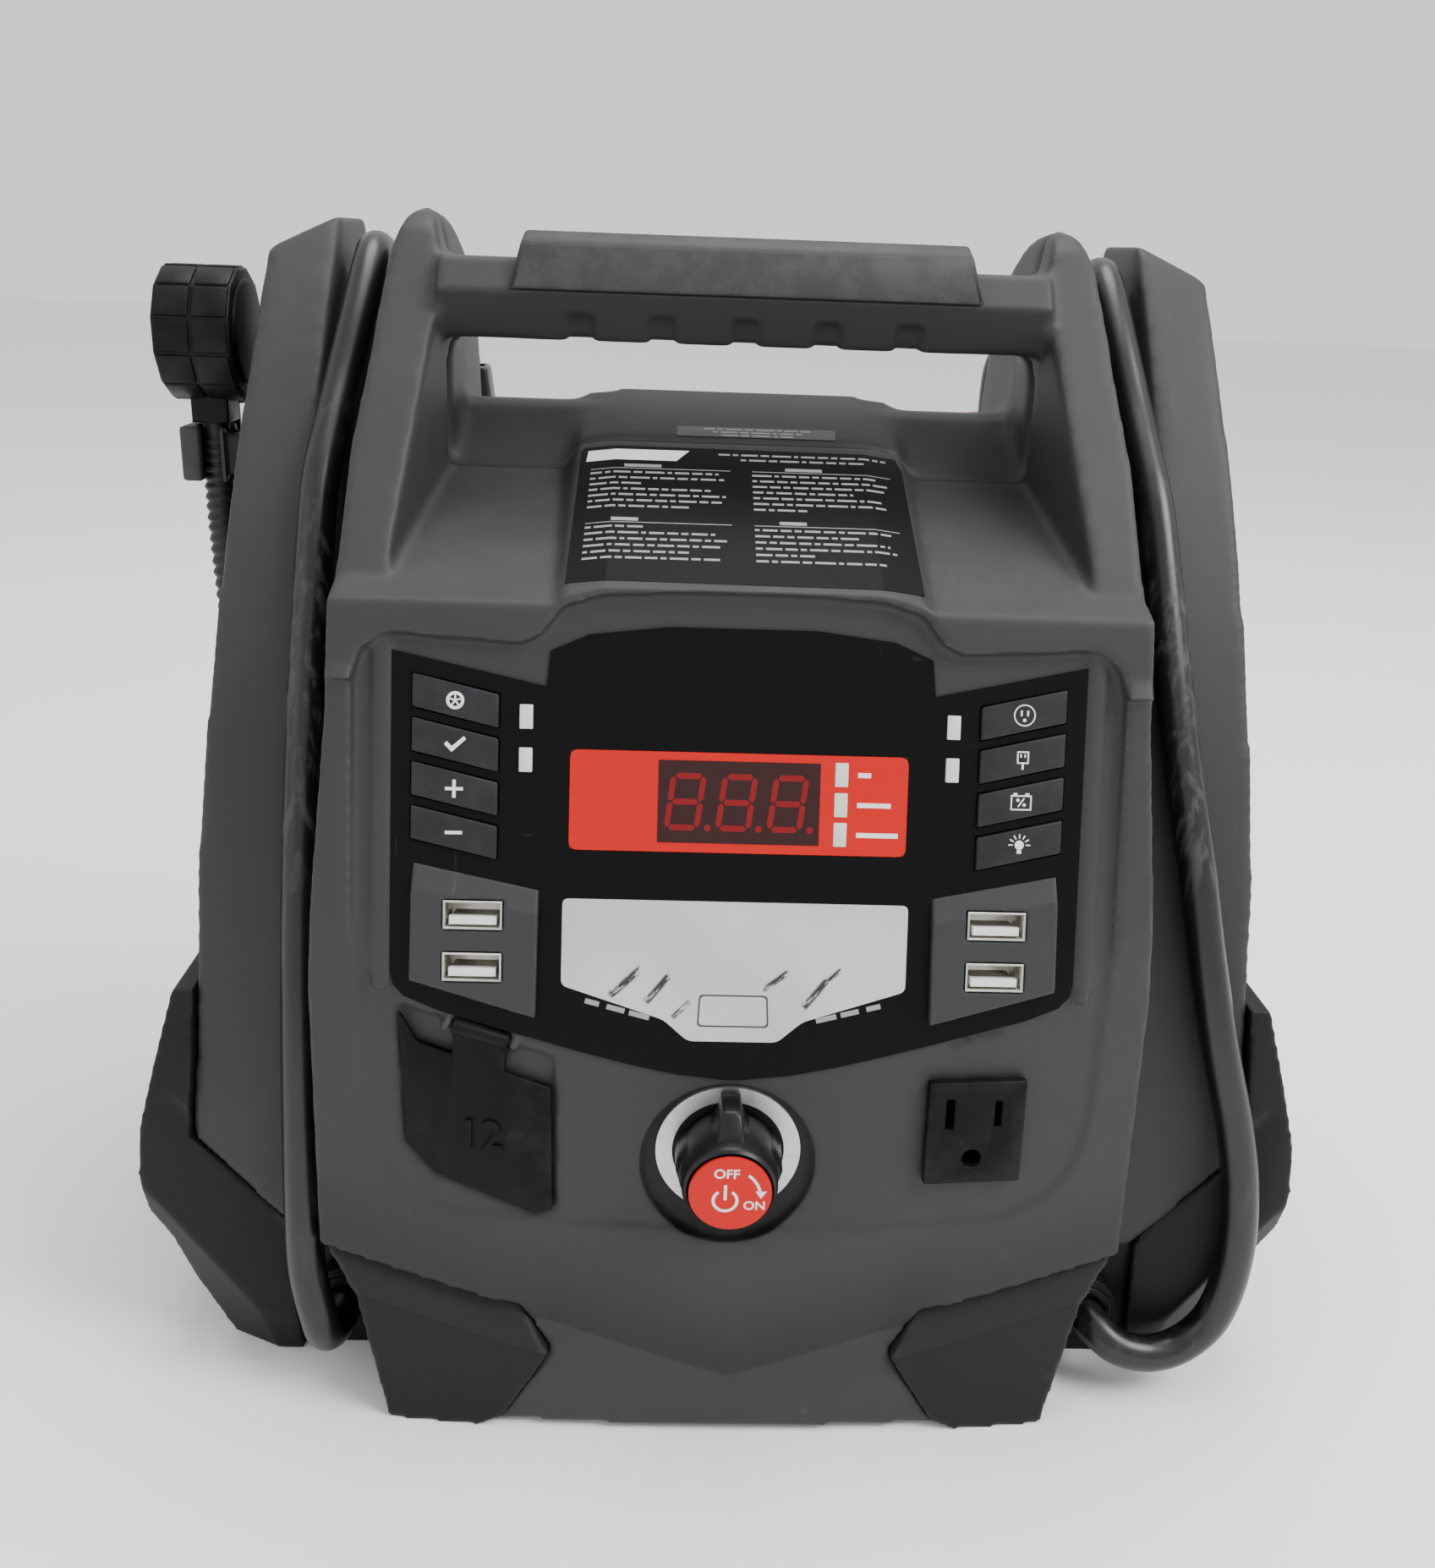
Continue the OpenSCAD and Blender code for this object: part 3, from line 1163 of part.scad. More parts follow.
// ---------- rear face ----------
pin_w = 2;
module ac_inlet()
    color("black") on_rear(inlet_x, inlet_z) {
        difference() {
            translate([-inlet_w / 2 + seam, -inlet_h / 2 + seam, -22])
                cube([inlet_w - 2 * seam, inlet_h - 2 * seam, 22]);
            translate([-15, -9, -18]) cube([30, 20, 30]);
        }
        for (x = [-8, 0, 8]) translate([x - pin_w / 2, x == 0 ? -5 : 1, -19]) cube([pin_w, 5, 15]);
    }

flap_pin_v = inlet_h / 2 + 3;
module inlet_flap()
    color("black") on_rear(inlet_x, inlet_z) {
        translate([-inlet_w / 2 - 1, -inlet_h / 2 - 3, 0.6]) cube([inlet_w + 2, inlet_h + 5, 2]);
        translate([-inlet_w / 2 + 6, flap_pin_v, 2.6]) rotate([0, 90, 0]) cylinder(h = inlet_w - 12, r = 2);
    }

module light_lens()
    color("white") on_rear(lamp_x, lamp_z) translate([0, 0, -6]) {
        cylinder(h = 7, r = lamp_r);
        translate([0, 0, -14]) cylinder(h = 15, r1 = 7, r2 = lamp_r - 2);
    }

module case_screws()
    color("gray") for (p = screw_places) on_rear(p[0], p[1]) {
        difference() {
            translate([0, 0, -1.7]) cylinder(h = 2, r = screw_head_r);
            for (turn = [0, 90]) rotate([0, 0, turn]) translate([-2.4, -0.5, -0.4]) cube([4.8, 1, 4]);
        }
        translate([0, 0, -14]) cylinder(h = 13, r = screw_r);
    }

// ---------- inside ----------
battery_y = -20;
battery_z = case_bottom_z + base_t + 0.3;
module battery()
    color("gray") {
        translate([-battery_w / 2, battery_y, battery_z]) cube([battery_w, battery_d, battery_h]);
        for (s = [-1, 1]) translate([s * (battery_w / 2 - 14) - 6, battery_y + 6,
            battery_z + battery_h]) cube([12, 12, 6]);
    }

strap_t = 1.6;
module battery_strap()
    color("black") difference() {
        translate([-14, battery_y - strap_t - 0.2, battery_z])
            cube([28, battery_d + 2 * strap_t + 0.4, battery_h + strap_t + 0.2]);
        translate([-20, battery_y - 0.2, battery_z - 1]) cube([40, battery_d + 0.4, battery_h + 1.2]);
    }

module compressor()
    color("silver") translate([0, 4, battery_z + battery_h + 38]) {
        translate([-88, 0, 0]) rotate([0, 90, 0]) cylinder(h = 52, r = 20);
        translate([-37, -16, -20]) cube([20, 32, 46]);
        translate([-27, 0, 25]) cylinder(h = 18, r = 12);
        for (i = [0:3]) translate([-27, 0, 28 + i * 3.6]) cylinder(h = 1.4, r = 15);
    }

inverter_w = 90;
inverter_z = 167.3;
module inverter()
    color("darkgreen") translate([front_half_w - 98.5, 0, inverter_z]) {
        translate([0, -42, 0]) cube([inverter_w, 90, 1.6]);
        translate([6, 0, 1]) cube([34, 30, 30]);
        for (i = [0:6]) translate([48 + i * 5, -30, 1]) cube([2, 60, 24]);
        translate([46, -30, 1]) cube([36, 60, 3]);
    }

blade_count = 7;
module fan_rotor()
    color("black") translate([fan_x[0], fan_y, fan_z]) rotate([0, 90, 0]) difference() {
        union() {
            cylinder(h = fan_x[1] - fan_x[0], r = 8);
            for (i = [0:blade_count - 1]) rotate([0, 0, i * 360 / blade_count])
                translate([6, 0, 4]) rotate([35, 0, 0]) translate([0, -5, -0.6]) cube([fan_r - 8, 10, 1.2]);
        }
        translate([0, 0, -1]) cylinder(h = 20, r = fan_pin_r + run);
    }

front_shell();
rear_shell();
base_plate();
bumper_left();
bumper_right();
handle_grip();
panel_overlay();
display_label();
display_window();
display_module();
indicator_lenses();
nameplate();
control_board();
usb_pod_left();
usb_pod_right();
usb_port_left_top();
usb_port_left_low();
usb_port_right_top();
usb_port_right_low();
key_tyre();
key_set();
key_plus();
key_minus();
key_outlet();
key_usb();
key_battery();
key_light();
power_knob();
knob_disc();
knob_dial();
battery_switch();
socket_cover();
cover_pin();
dc_socket();
ac_outlet();
cable_gland_left();
cable_gland_right();
jumper_cable_left();
jumper_cable_right();
clamp_left_fixed();
clamp_left_moving();
clamp_left_pin();
clamp_right_fixed();
clamp_right_moving();
clamp_right_pin();
clamp_springs();
air_hose();
hose_fitting();
chuck_body();
chuck_lever();
chuck_bracket();
ac_inlet();
inlet_flap();
light_lens();
case_screws();
battery();
battery_strap();
compressor();
inverter();
fan_rotor();
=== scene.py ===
import json
import math
import bmesh
import bpy
from mathutils import Matrix, Vector


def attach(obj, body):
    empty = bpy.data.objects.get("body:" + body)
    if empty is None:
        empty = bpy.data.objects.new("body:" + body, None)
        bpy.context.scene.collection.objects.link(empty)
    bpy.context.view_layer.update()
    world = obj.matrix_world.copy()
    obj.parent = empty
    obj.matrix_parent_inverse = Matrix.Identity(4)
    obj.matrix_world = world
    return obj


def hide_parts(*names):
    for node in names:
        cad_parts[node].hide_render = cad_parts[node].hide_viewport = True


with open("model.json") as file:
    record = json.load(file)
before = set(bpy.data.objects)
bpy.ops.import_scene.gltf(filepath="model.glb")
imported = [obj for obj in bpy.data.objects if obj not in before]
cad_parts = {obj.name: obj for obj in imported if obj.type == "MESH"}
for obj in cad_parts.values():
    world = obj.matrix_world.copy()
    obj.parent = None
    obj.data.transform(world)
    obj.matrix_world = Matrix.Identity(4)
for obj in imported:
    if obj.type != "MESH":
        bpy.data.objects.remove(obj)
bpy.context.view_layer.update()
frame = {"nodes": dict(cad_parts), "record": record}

MM = 0.001
RIGHT, UP, FRONT = Vector((1, 0, 0)), Vector((0, 0, 1)), Vector((0, -1, 0))


def adjust(item, **settings):
    for key, value in settings.items():
        setattr(item, key, value)
    return item


# ---------- places on the case, in millimetres ----------
PANEL_ORIGIN, PANEL_LEAN = Vector((0, -76.635, 172)), math.radians(74.5)
HUMP_ORIGIN, HUMP_LEAN = Vector((0, -67.47, 221.5)), math.radians(22.8)
BOW_Y, BOW_R, BOW_STEP = -103.8, 700.0, 1.0
BOW_LEAN = math.radians(4)
REAR_Y, REAR_LEAN = 100, math.radians(4.7)
KNOB_Z = 84
# the dish: how far its middle lies below the knob's axis, its radius, and the width of its edge
DISH_DROP, DISH_R, DISH_EDGE = 3.5, 22.3, 0.3
# the two folds low on the front: where they are lowest, at what heights, and how steeply they climb
FOLD_X, FOLD_TOP, FOLD_TOP_RISE, FOLD_LOW, FOLD_LOW_RISE = 2, 49, 0.36, 16, 0.29
# the crease across the bumpers: a point on it, and how steeply it climbs
BAND_Z, BAND_X, BAND_RISE = 23, 45.3, 0.2926
# the slots in the left side: the middle of the first, their pitch, number, half width and ends
VENT_Y, VENT_PITCH, VENT_COUNT, VENT_HALF, VENT_LOW, VENT_TOP = -16, 6, 9, 1.5, 118, 154


def shift(x=0.0, y=0.0, z=0.0):
    return Matrix.Translation(Vector((x, y, z)) * MM)


def frame_of(origin, up, out):
    """A place whose x, y and z run across, up and out of a face."""
    return shift(*origin) @ Matrix((up.cross(out), up, out)).transposed().to_4x4()


def on_slope(origin, lean, x, up, out):
    """A place on a face that climbs backwards: across, up the slope and out of it."""
    along = Vector((0, math.cos(lean), math.sin(lean)))
    away = Vector((0, -math.sin(lean), math.cos(lean)))
    return frame_of(origin + x * RIGHT + up * along + out * away, along, away)


def on_panel(x=0, v=0, out=0):
    return on_slope(PANEL_ORIGIN, PANEL_LEAN, x, v, out)


def bow_y(x, z, step=BOW_STEP):
    return BOW_Y + step + z * math.tan(BOW_LEAN) + x * x / (2 * BOW_R)


def on_bow(x, z, out=0):
    """A place on the bowed lower front."""
    turn = Matrix.Rotation(math.asin(x / BOW_R), 4, "Z")
    lean = Matrix.Rotation(math.pi / 2 - BOW_LEAN, 4, "X")
    return shift(x, bow_y(x, z), z) @ turn @ lean @ shift(0, 0, out)


def on_rear(x, z, out=0):
    """A place on the rear face; its x runs to the left."""
    y = REAR_Y - z * math.tan(REAR_LEAN)
    turn = Matrix.Rotation(math.pi, 4, "Z") @ Matrix.Rotation(math.pi / 2 - REAR_LEAN, 4, "X")
    return shift(x, y, z) @ turn @ shift(0, 0, out)


# ---------- colours and finishes ----------
def srgb(red, green, blue):
    """A colour as it looks on screen, each part from 0 to 255, made linear."""
    def one(value):
        value /= 255
        return value / 12.92 if value <= 0.04045 else ((value + 0.055) / 1.055) ** 2.4
    return (one(red), one(green), one(blue), 1)


class Tree:
    """Short calls for building a node tree, from numbers, colours and other nodes' outputs."""

    def __init__(self, tree):
        self.tree = tree

    def node(self, kind, **settings):
        return adjust(self.tree.nodes.new(kind), **settings)

    def fill(self, target, value):
        if isinstance(value, bpy.types.NodeSocket):
            self.tree.links.new(value, target)
        else:
            target.default_value = value

    def feed(self, node, **values):
        """Fills a node's inputs, named with _ for a space, and gives its outputs."""
        for name, value in values.items():
            self.fill(node.inputs[name.replace("_", " ")], value)
        return node.outputs

    def math(self, operation, a, b=0.0):
        made = self.node("ShaderNodeMath", operation=operation)
        self.fill(made.inputs[0], a)
        self.fill(made.inputs[1], b)
        return made.outputs[0]

    def product(self, *values):
        result = values[0]
        for value in values[1:]:
            result = self.math("MULTIPLY", result, value)
        return result

    def plus(self, base, mask, share):
        return self.math("ADD", base, self.product(mask, share))

    def mix(self, factor, a, b):
        made = self.node("ShaderNodeMix", data_type="RGBA")
        return self.feed(made, Factor=factor, A=a, B=b)["Result"]

    def span(self, value, low, high):
        """0 at one level and 1 at another, smoothly."""
        made = self.node("ShaderNodeMapRange", interpolation_type="SMOOTHSTEP")
        return self.feed(made, Value=value, From_Min=low, From_Max=high)["Result"]

    def below(self, value, edge, soft):
        """1 below an edge and 0 above it, softened by so many millimetres to both sides."""
        return self.span(value, (edge + soft) * MM, (edge - soft) * MM)

    def above(self, value, edge, soft):
        return self.below(value, edge, -soft)

    def here(self):
        return self.node("ShaderNodeTexCoord").outputs["Object"]

    def apart(self, vector):
        return self.feed(self.node("ShaderNodeSeparateXYZ"), Vector=vector)

    def mapped(self, vector, scale=(1, 1, 1), turn=(0, 0, 0), shift=(0, 0, 0)):
        made = self.node("ShaderNodeMapping")
        return self.feed(made, Vector=vector, Scale=scale, Rotation=turn, Location=shift)["Vector"]

    def noise(self, vector, scale, detail=3.0, rough=0.5, distortion=0.0):
        return self.feed(self.node("ShaderNodeTexNoise"), Vector=vector, Scale=scale, Detail=detail,
                         Roughness=rough, Distortion=distortion)["Fac"]

    def patches(self, vector, scale, low, high, *kind):
        """Noise cut into soft-edged patches between two of its levels."""
        return self.span(self.noise(vector, scale, *kind), low, high)

    def relief(self, shader, height, depth):
        """Fine relief on a shader, its depth in millimetres."""
        made = self.node("ShaderNodeBump")
        bump = self.feed(made, Strength=1.0, Distance=depth * MM, Height=height)
        self.feed(shader, Normal=bump["Normal"])


def effect(name, takes, build):
    """A node group with named inputs, and an output for each value that build gives."""
    group = bpy.data.node_groups.new(name, "ShaderNodeTree")
    sockets = group.interface
    for label in takes:
        sockets.new_socket(label, in_out="INPUT", socket_type="NodeSocketFloat")
    tree = Tree(group)
    gives = build(tree, tree.node("NodeGroupInput").outputs)
    for label in gives:
        sockets.new_socket(label, in_out="OUTPUT", socket_type="NodeSocketFloat")
    tree.feed(tree.node("NodeGroupOutput"), **gives)
    return group


def build_grain(tree, given):
    """The fine eroded grain of a moulding."""
    here = tree.here()
    fine = tree.noise(here, given["Scale"], 4.0, 0.6)
    coarse = tree.noise(here, tree.product(given["Scale"], 0.23), 2.0, 0.5)
    return {"Height": tree.plus(tree.product(fine, 0.7), coarse, 0.3)}


# the turn of each set of hairlines, and the scale that draws them out
HAIRLINES = (((0.3, 0.5, 0.7), (60, 900, 60)), ((1.1, 0.2, 2.1), (700, 50, 50)))


def build_handling(tree, given):
    """Rubbed patches, hairline scratches and greasy smudges."""
    here = tree.here()
    lines = [tree.patches(tree.mapped(here, scale, turn), 1.0, 0.71, 0.75, 2.0)
             for turn, scale in HAIRLINES]
    gate = tree.patches(here, 23.0, 0.5, 0.62)
    return {
        "Patches": tree.product(tree.patches(here, 14.0, 0.42, 0.72, 5.0, 0.6, 0.4), given["Rubbing"]),
        "Scratches": tree.product(tree.math("MAXIMUM", *lines), gate, given["Scratches"]),
        "Smudges": tree.product(tree.patches(here, 31.0, 0.56, 0.8, 6.0, 0.65, 0.8), given["Rubbing"]),
    }


def build_edges(tree, given):
    """Where corners stand out and get rubbed pale, and where hollows are made darker."""
    point = tree.node("ShaderNodeNewGeometry").outputs["Pointiness"]
    broken = tree.patches(tree.here(), 90.0, 0.38, 0.62, 6.0, 0.7)
    return {
        "Rim": tree.product(tree.span(point, 0.515, 0.56), broken, given["Amount"]),
        "Hollow": tree.product(tree.span(point, 0.49, 0.44), given["Amount"]),
    }


def build_dust(tree, given):
    """Settled dust, only on what faces up."""
    normal = tree.apart(tree.node("ShaderNodeNewGeometry").outputs["Normal"])
    cloud = tree.patches(tree.here(), 40.0, 0.35, 0.75, 8.0, 0.7)
    return {"Dust": tree.product(tree.span(normal["Z"], 0.35, 0.95), cloud, given["Amount"])}


GRAIN = effect("moulded_grain", ["Scale"], build_grain)
HANDLING = effect("handling_marks", ["Rubbing", "Scratches"], build_handling)
EDGES = effect("edge_wear", ["Amount"], build_edges)
DUST = effect("settled_dust", ["Amount"], build_dust)


def use(tree, group, **values):
    return tree.feed(tree.node("ShaderNodeGroup", node_tree=group), **values)


def new_material(name):
    made = bpy.data.materials.new(name)
    made.use_nodes = True
    tree = Tree(made.node_tree)
    shader = made.node_tree.nodes["Principled BSDF"]
    return made, tree, shader


# the colour of dust, and the near black that painted shade darkens towards
DUST_COLOUR, PAINTED_SHADE_COLOUR = srgb(112, 109, 103), srgb(5, 5, 5)
# how strongly each mark shows in the colour, and how far it changes the roughness
PATCH_TINT, SCRATCH_TINT, RIM_TINT, HOLLOW_TINT, DUST_TINT = 0.35, 0.6, 0.7, 0.5, 0.3
SMUDGE_GLOSS, RIM_GLOSS, DUST_MATT = 0.12, 0.1, 0.15


def shaded(colour, share, more=0.0):
    """A colour made lighter or darker."""
    return tuple(min(1.0, part * share + more) for part in colour[:3]) + (1,)


def moulded(name, colour, rough, grain=2600.0, depth=0.05, rubbing=0.5, scratches=0.4, edges=0.5,
            dust=0.3, pale=1.9, shine=0.35, painted_shade=None):
    """Moulded plastic or rubber, with grain, handling marks, rubbed corners and dust, and painted shade
    where a mask is given.
    """
    made, tree, shader = new_material(name)
    base = srgb(*colour)
    lighter, darker = shaded(base, pale, 0.012), shaded(base, 0.72)
    marks = use(tree, HANDLING, Rubbing=rubbing, Scratches=scratches)
    wear = use(tree, EDGES, Amount=edges)
    settled = use(tree, DUST, Amount=dust)["Dust"]
    colour_now = base
    for mask, share, tint in ((marks["Patches"], PATCH_TINT, darker),
                              (marks["Scratches"], SCRATCH_TINT, lighter),
                              (wear["Rim"], RIM_TINT, lighter), (wear["Hollow"], HOLLOW_TINT, darker),
                              (settled, DUST_TINT, DUST_COLOUR)):
        colour_now = tree.mix(tree.product(mask, share), colour_now, tint)
    # painted shade: the mask darkens the colour towards near black
    if painted_shade:
        colour_now = tree.mix(painted_shade(tree), colour_now, PAINTED_SHADE_COLOUR)
    polished = tree.plus(tree.plus(rough, marks["Smudges"], -SMUDGE_GLOSS), wear["Rim"], -RIM_GLOSS)
    tree.feed(shader, Base_Color=colour_now, Roughness=tree.plus(polished, settled, DUST_MATT),
              Specular_IOR_Level=shine)
    tree.relief(shader, use(tree, GRAIN, Scale=grain)["Height"], depth)
    return made


def metal(name, colour, rough, dirt=0.3):
    """Bare metal, tarnished in patches."""
    made, tree, shader = new_material(name)
    here = tree.here()
    base = srgb(*colour)
    tarnish = tree.product(tree.patches(here, 160.0, 0.45, 0.75, 6.0, 0.65), dirt)
    grain = tree.noise(tree.mapped(here, (900, 900, 900)), 1.0, 4.0, 0.6)
    tree.feed(shader, Base_Color=tree.mix(tarnish, base, shaded(base, 0.45)), Metallic=1.0,
              Roughness=tree.plus(rough, grain, 0.15))
    tree.relief(shader, grain, 0.01)
    return made


def film(name, colour, rough, fleck=0.1, coat=0.0, shine=0.4):
    """A smooth printed film or lens with faint fine texture."""
    made, tree, shader = new_material(name)
    here = tree.here()
    base = srgb(*colour)
    flecks = tree.product(tree.patches(here, 120.0, 0.4, 0.8, 6.0, 0.6), fleck)
    smudges = use(tree, HANDLING, Rubbing=0.8, Scratches=0.6)["Smudges"]
    tree.feed(shader, Base_Color=tree.mix(flecks, base, shaded(base, 0.8)), Coat_Weight=coat,
              Coat_Roughness=0.15, Specular_IOR_Level=shine,
              Roughness=tree.plus(rough, smudges, SMUDGE_GLOSS))
    tree.relief(shader, tree.noise(here, 1800.0), 0.006)
    return made


# how dark each shade is
FOLD_SHADE, VENT_SHADE, BAND_SHADE, FLANK_SHADE = 0.42, 0.85, 0.55, 0.6


def dish_shade_mask(tree):
    """Painted shade inside the dish round the knob, nearly black."""
    place = tree.apart(tree.here())
    up = tree.math("SUBTRACT", place["Z"], (KNOB_Z - DISH_DROP) * MM)
    square = tree.math("ADD", tree.product(up, up), tree.product(place["X"], place["X"]))
    return tree.product(tree.below(tree.math("SQRT", square), DISH_R + DISH_EDGE, 0.2),
                        tree.below(place["Y"], -65, 5))


def above_line(tree, rise, middle):
    """Height above a line that climbs to both sides, and a mask of the front."""
    place = tree.apart(tree.here())
    across = tree.math("ABSOLUTE", tree.math("SUBTRACT", place["X"], middle * MM))
    height = tree.math("SUBTRACT", place["Z"], tree.product(across, rise))
    return height, tree.below(place["Y"], -85, 5)


def fold_mask(tree):
    """The shade between the folds low on the front, deepest at the lower one."""
    height, forward = above_line(tree, 0.5 * (FOLD_TOP_RISE + FOLD_LOW_RISE), FOLD_X)
    fading = tree.span(height, FOLD_TOP * MM, FOLD_LOW * MM)
    return tree.product(fading, tree.above(height, FOLD_LOW - 1, 0.6), forward, FOLD_SHADE)


def vent_shade_mask(tree):
    """Painted shade where the slots in the left side stand open."""
    place = tree.apart(tree.here())
    along = tree.math("SUBTRACT", place["Y"], VENT_Y * MM)
    wave = tree.math("PINGPONG", along, 0.5 * VENT_PITCH * MM)
    last = VENT_PITCH * (VENT_COUNT - 1)
    return tree.product(tree.below(wave, VENT_HALF, 0.3), tree.above(along, -VENT_HALF - 0.15, 0.15),
                        tree.below(along, last + VENT_HALF + 0.15, 0.15),
                        tree.above(place["Z"], VENT_LOW, 0.3), tree.below(place["Z"], VENT_TOP, 0.3),
                        tree.below(place["X"], -105, 5), VENT_SHADE)


# painted shade on the housing: in the dish, between the folds and in the slots
def housing_shade_mask(tree):
    shade = tree.math("MAXIMUM", dish_shade_mask(tree), fold_mask(tree))
    return tree.math("MAXIMUM", shade, vent_shade_mask(tree))


def bumper_shade_mask(tree):
    """Painted shade on the bumpers' lower faces and flanks, which come out darker than the band above
    their crease.
    """
    height, forward = above_line(tree, BAND_RISE, 0)
    low = tree.product(tree.below(height, BAND_Z - BAND_RISE * BAND_X, 0.4), forward, BAND_SHADE)
    flank = tree.product(tree.math("SUBTRACT", 1.0, forward), FLANK_SHADE)
    return tree.math("MAXIMUM", low, flank)


def scuff_mask(tree, x, z, turn, length, width):
    """A broken slanting scrape about a place on the front, in millimetres."""
    turned = tree.mapped(tree.here(), shift=(-x * MM, 0, -z * MM))
    turned = tree.mapped(turned, turn=(0, math.radians(turn), 0))
    part = tree.apart(turned)
    along, across = (tree.math("ABSOLUTE", part[axis]) for axis in "XZ")
    broken = tree.patches(tree.mapped(turned, (160, 400, 900)), 1.0, 0.4, 0.5, 5.0, 0.7)
    return tree.product(tree.span(along, length * MM, 0.8 * length * MM),
                        tree.span(across, width * MM, 0.4 * width * MM), broken)


# place across and up, turn in degrees, half length and half width
SCUFFS = [(-27, 128, 42, 5.6, 1.3), (-19, 126.5, 50, 4.8, 1.2), (-13, 121.5, 42, 3.2, 0.9),
          (10.5, 129, 36, 4.2, 1.0), (20.5, 126, 50, 5.0, 1.2), (25, 130.5, 42, 2.6, 0.8)]


def make_plate_material():
    """Silver printed foil, faintly brushed, with a few dark slanting scuffs low at both sides."""
    made, tree, shader = new_material("nameplate_foil")
    here = tree.here()
    sheen = tree.patches(here, 26.0, 0.35, 0.7, 2.0, 0.4)
    colour_now = tree.mix(sheen, srgb(196, 197, 196), srgb(182, 183, 184))
    for values in SCUFFS:
        colour_now = tree.mix(scuff_mask(tree, *values), colour_now, srgb(44, 44, 46))
    brush = tree.noise(tree.mapped(here, (90, 90, 2600)), 1.0)
    tree.feed(shader, Base_Color=colour_now, Metallic=0.3, Roughness=tree.plus(0.36, brush, 0.14))
    tree.relief(shader, brush, 0.01)
    return made


def make_cable_material():
    """Black cable sheath, scuffed grey where it rubs over the shoulders of the case, the grey there
    being partly a painted highlight.
    """
    made, tree, shader = new_material("cable_sheath")
    here = tree.here()
    scuff = tree.patches(tree.mapped(here, (300, 300, 40)), 1.0, 0.48, 0.66, 6.0, 0.65, 0.3)
    up = tree.apart(here)["Z"]
    # over the shoulders the grey streaks are partly scuffs and partly a painted highlight
    shoulder = tree.product(tree.above(up, 145, 15), tree.below(up, 230, 20))
    faint = tree.product(tree.patches(here, 17.0, 0.5, 0.62), 0.5)
    scuffs_and_highlight = tree.product(scuff, tree.math("MAXIMUM", shoulder, faint))
    sheath = tree.mix(tree.product(scuffs_and_highlight, 0.45), srgb(12, 12, 13), srgb(78, 77, 75))
    tree.feed(shader, Base_Color=sheath, Roughness=tree.plus(0.33, scuffs_and_highlight, 0.25))
    tree.relief(shader, tree.noise(here, 900.0, 4.0), 0.03)
    return made


# colour, roughness, grain and its depth, rubbing, scratches, edge wear, dust, paler rims, shine,
# painted shade
housing = moulded("housing_plastic", (45, 46, 47), 0.55, 2300, 0.05, 0.6, 0.5, 0.5, 0.3, 1.9, 0.3,
                  housing_shade_mask)
bumper_black = moulded("bumper_plastic", (31, 32, 34), 0.5, 2100, 0.06, 0.6, 0.6, 0.6, 0.25, 2.2, 0.2,
                       bumper_shade_mask)
black_plastic = moulded("black_plastic", (10, 10, 11), 0.45, 2600, 0.035, 0.4, 0.4, 0.4, 0.2, 2.6, 0.14)
cover_black = moulded("cover_plastic", (7, 7, 8), 0.5, 2600, 0.04, 0.5, 0.5, 0.5, 0.15, 2.8, 0.12)
overlay_film = moulded("overlay_film", (5, 5, 6), 0.4, 3800, 0.015, 0.9, 0.9, 0.0, 0.0, 2.4, 0.12)
key_rubber = moulded("key_caps", (28, 30, 32), 0.5, 3000, 0.02, 0.5, 0.3, 0.5, 0.15, 1.9, 0.24)
knob_plastic = moulded("knob_plastic", (11, 11, 12), 0.36, 3000, 0.02, 0.4, 0.4, 0.4, 0.15, 2.6, 0.3)
clamp_black = moulded("clamp_black", (24, 24, 26), 0.38, 2400, 0.03, 0.5, 0.5, 0.5, 0.2)
clamp_red = moulded("clamp_red", (168, 24, 20), 0.38, 2400, 0.03, 0.5, 0.5, 0.5, 0.2)
hose_rubber = moulded("hose_rubber", (20, 20, 21), 0.5, 1800, 0.04, 0.6, 0.2, 0.4, 0.25)
# colour, roughness, flecks, coat, shine
red_film = film("red_film", (190, 18, 14), 0.42, 0.12, 0.0, 0.2)
window_film = film("window_film", (40, 6, 6), 0.25, 0.2, 0.15, 0.3)
segment_film = film("segment_bars", (118, 20, 24), 0.35, 0.1, 0.0, 0.2)
lens_white = film("lens_white", (206, 206, 200), 0.38, 0.1)
print_white = film("print_white", (226, 228, 228), 0.45, 0.15)
print_grey = film("print_grey", (138, 139, 139), 0.5, 0.2)
label_black = film("label_black", (6, 6, 7), 0.46, 0.2, 0.0, 0.1)
label_grey = film("label_grey", (62, 63, 64), 0.42, 0.2)
board_green = film("board_green", (24, 84, 52), 0.4, 0.3)
dial_silver = metal("dial_silver", (196, 196, 193), 0.34, dirt=0.35)
steel = metal("bright_steel", (196, 196, 194), 0.26)
port_steel = metal("port_steel", (200, 198, 190), 0.22, dirt=0.5)
nameplate_foil = make_plate_material()
cable_sheath = make_cable_material()
strap_weave = moulded("strap_weave", (24, 24, 26), 0.8, 1500, 0.12)
battery_case = moulded("battery_case", (70, 71, 76), 0.5, 2200, 0.04)


# ---------- making pieces ----------
def new_object(name, data):
    made = bpy.data.objects.new(name, data)
    bpy.context.scene.collection.objects.link(made)
    return made


def add_object(name, data, finish, body):
    """A piece in its finish, on its body."""
    made = new_object(name, data)
    data.materials.clear()
    data.materials.append(finish)
    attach(made, body)
    return made


BODY_OF = {node: body for body, members in frame["record"]["behaviour"]["bodies"].items()
           for node in members}


def finish_mesh(made, smooth_angle=None):
    """Smooth shading, with creases kept above an angle if one is given."""
    for face in made.data.polygons:
        face.use_smooth = True
    if smooth_angle:
        made.data.set_sharp_from_angle(angle=math.radians(smooth_angle))


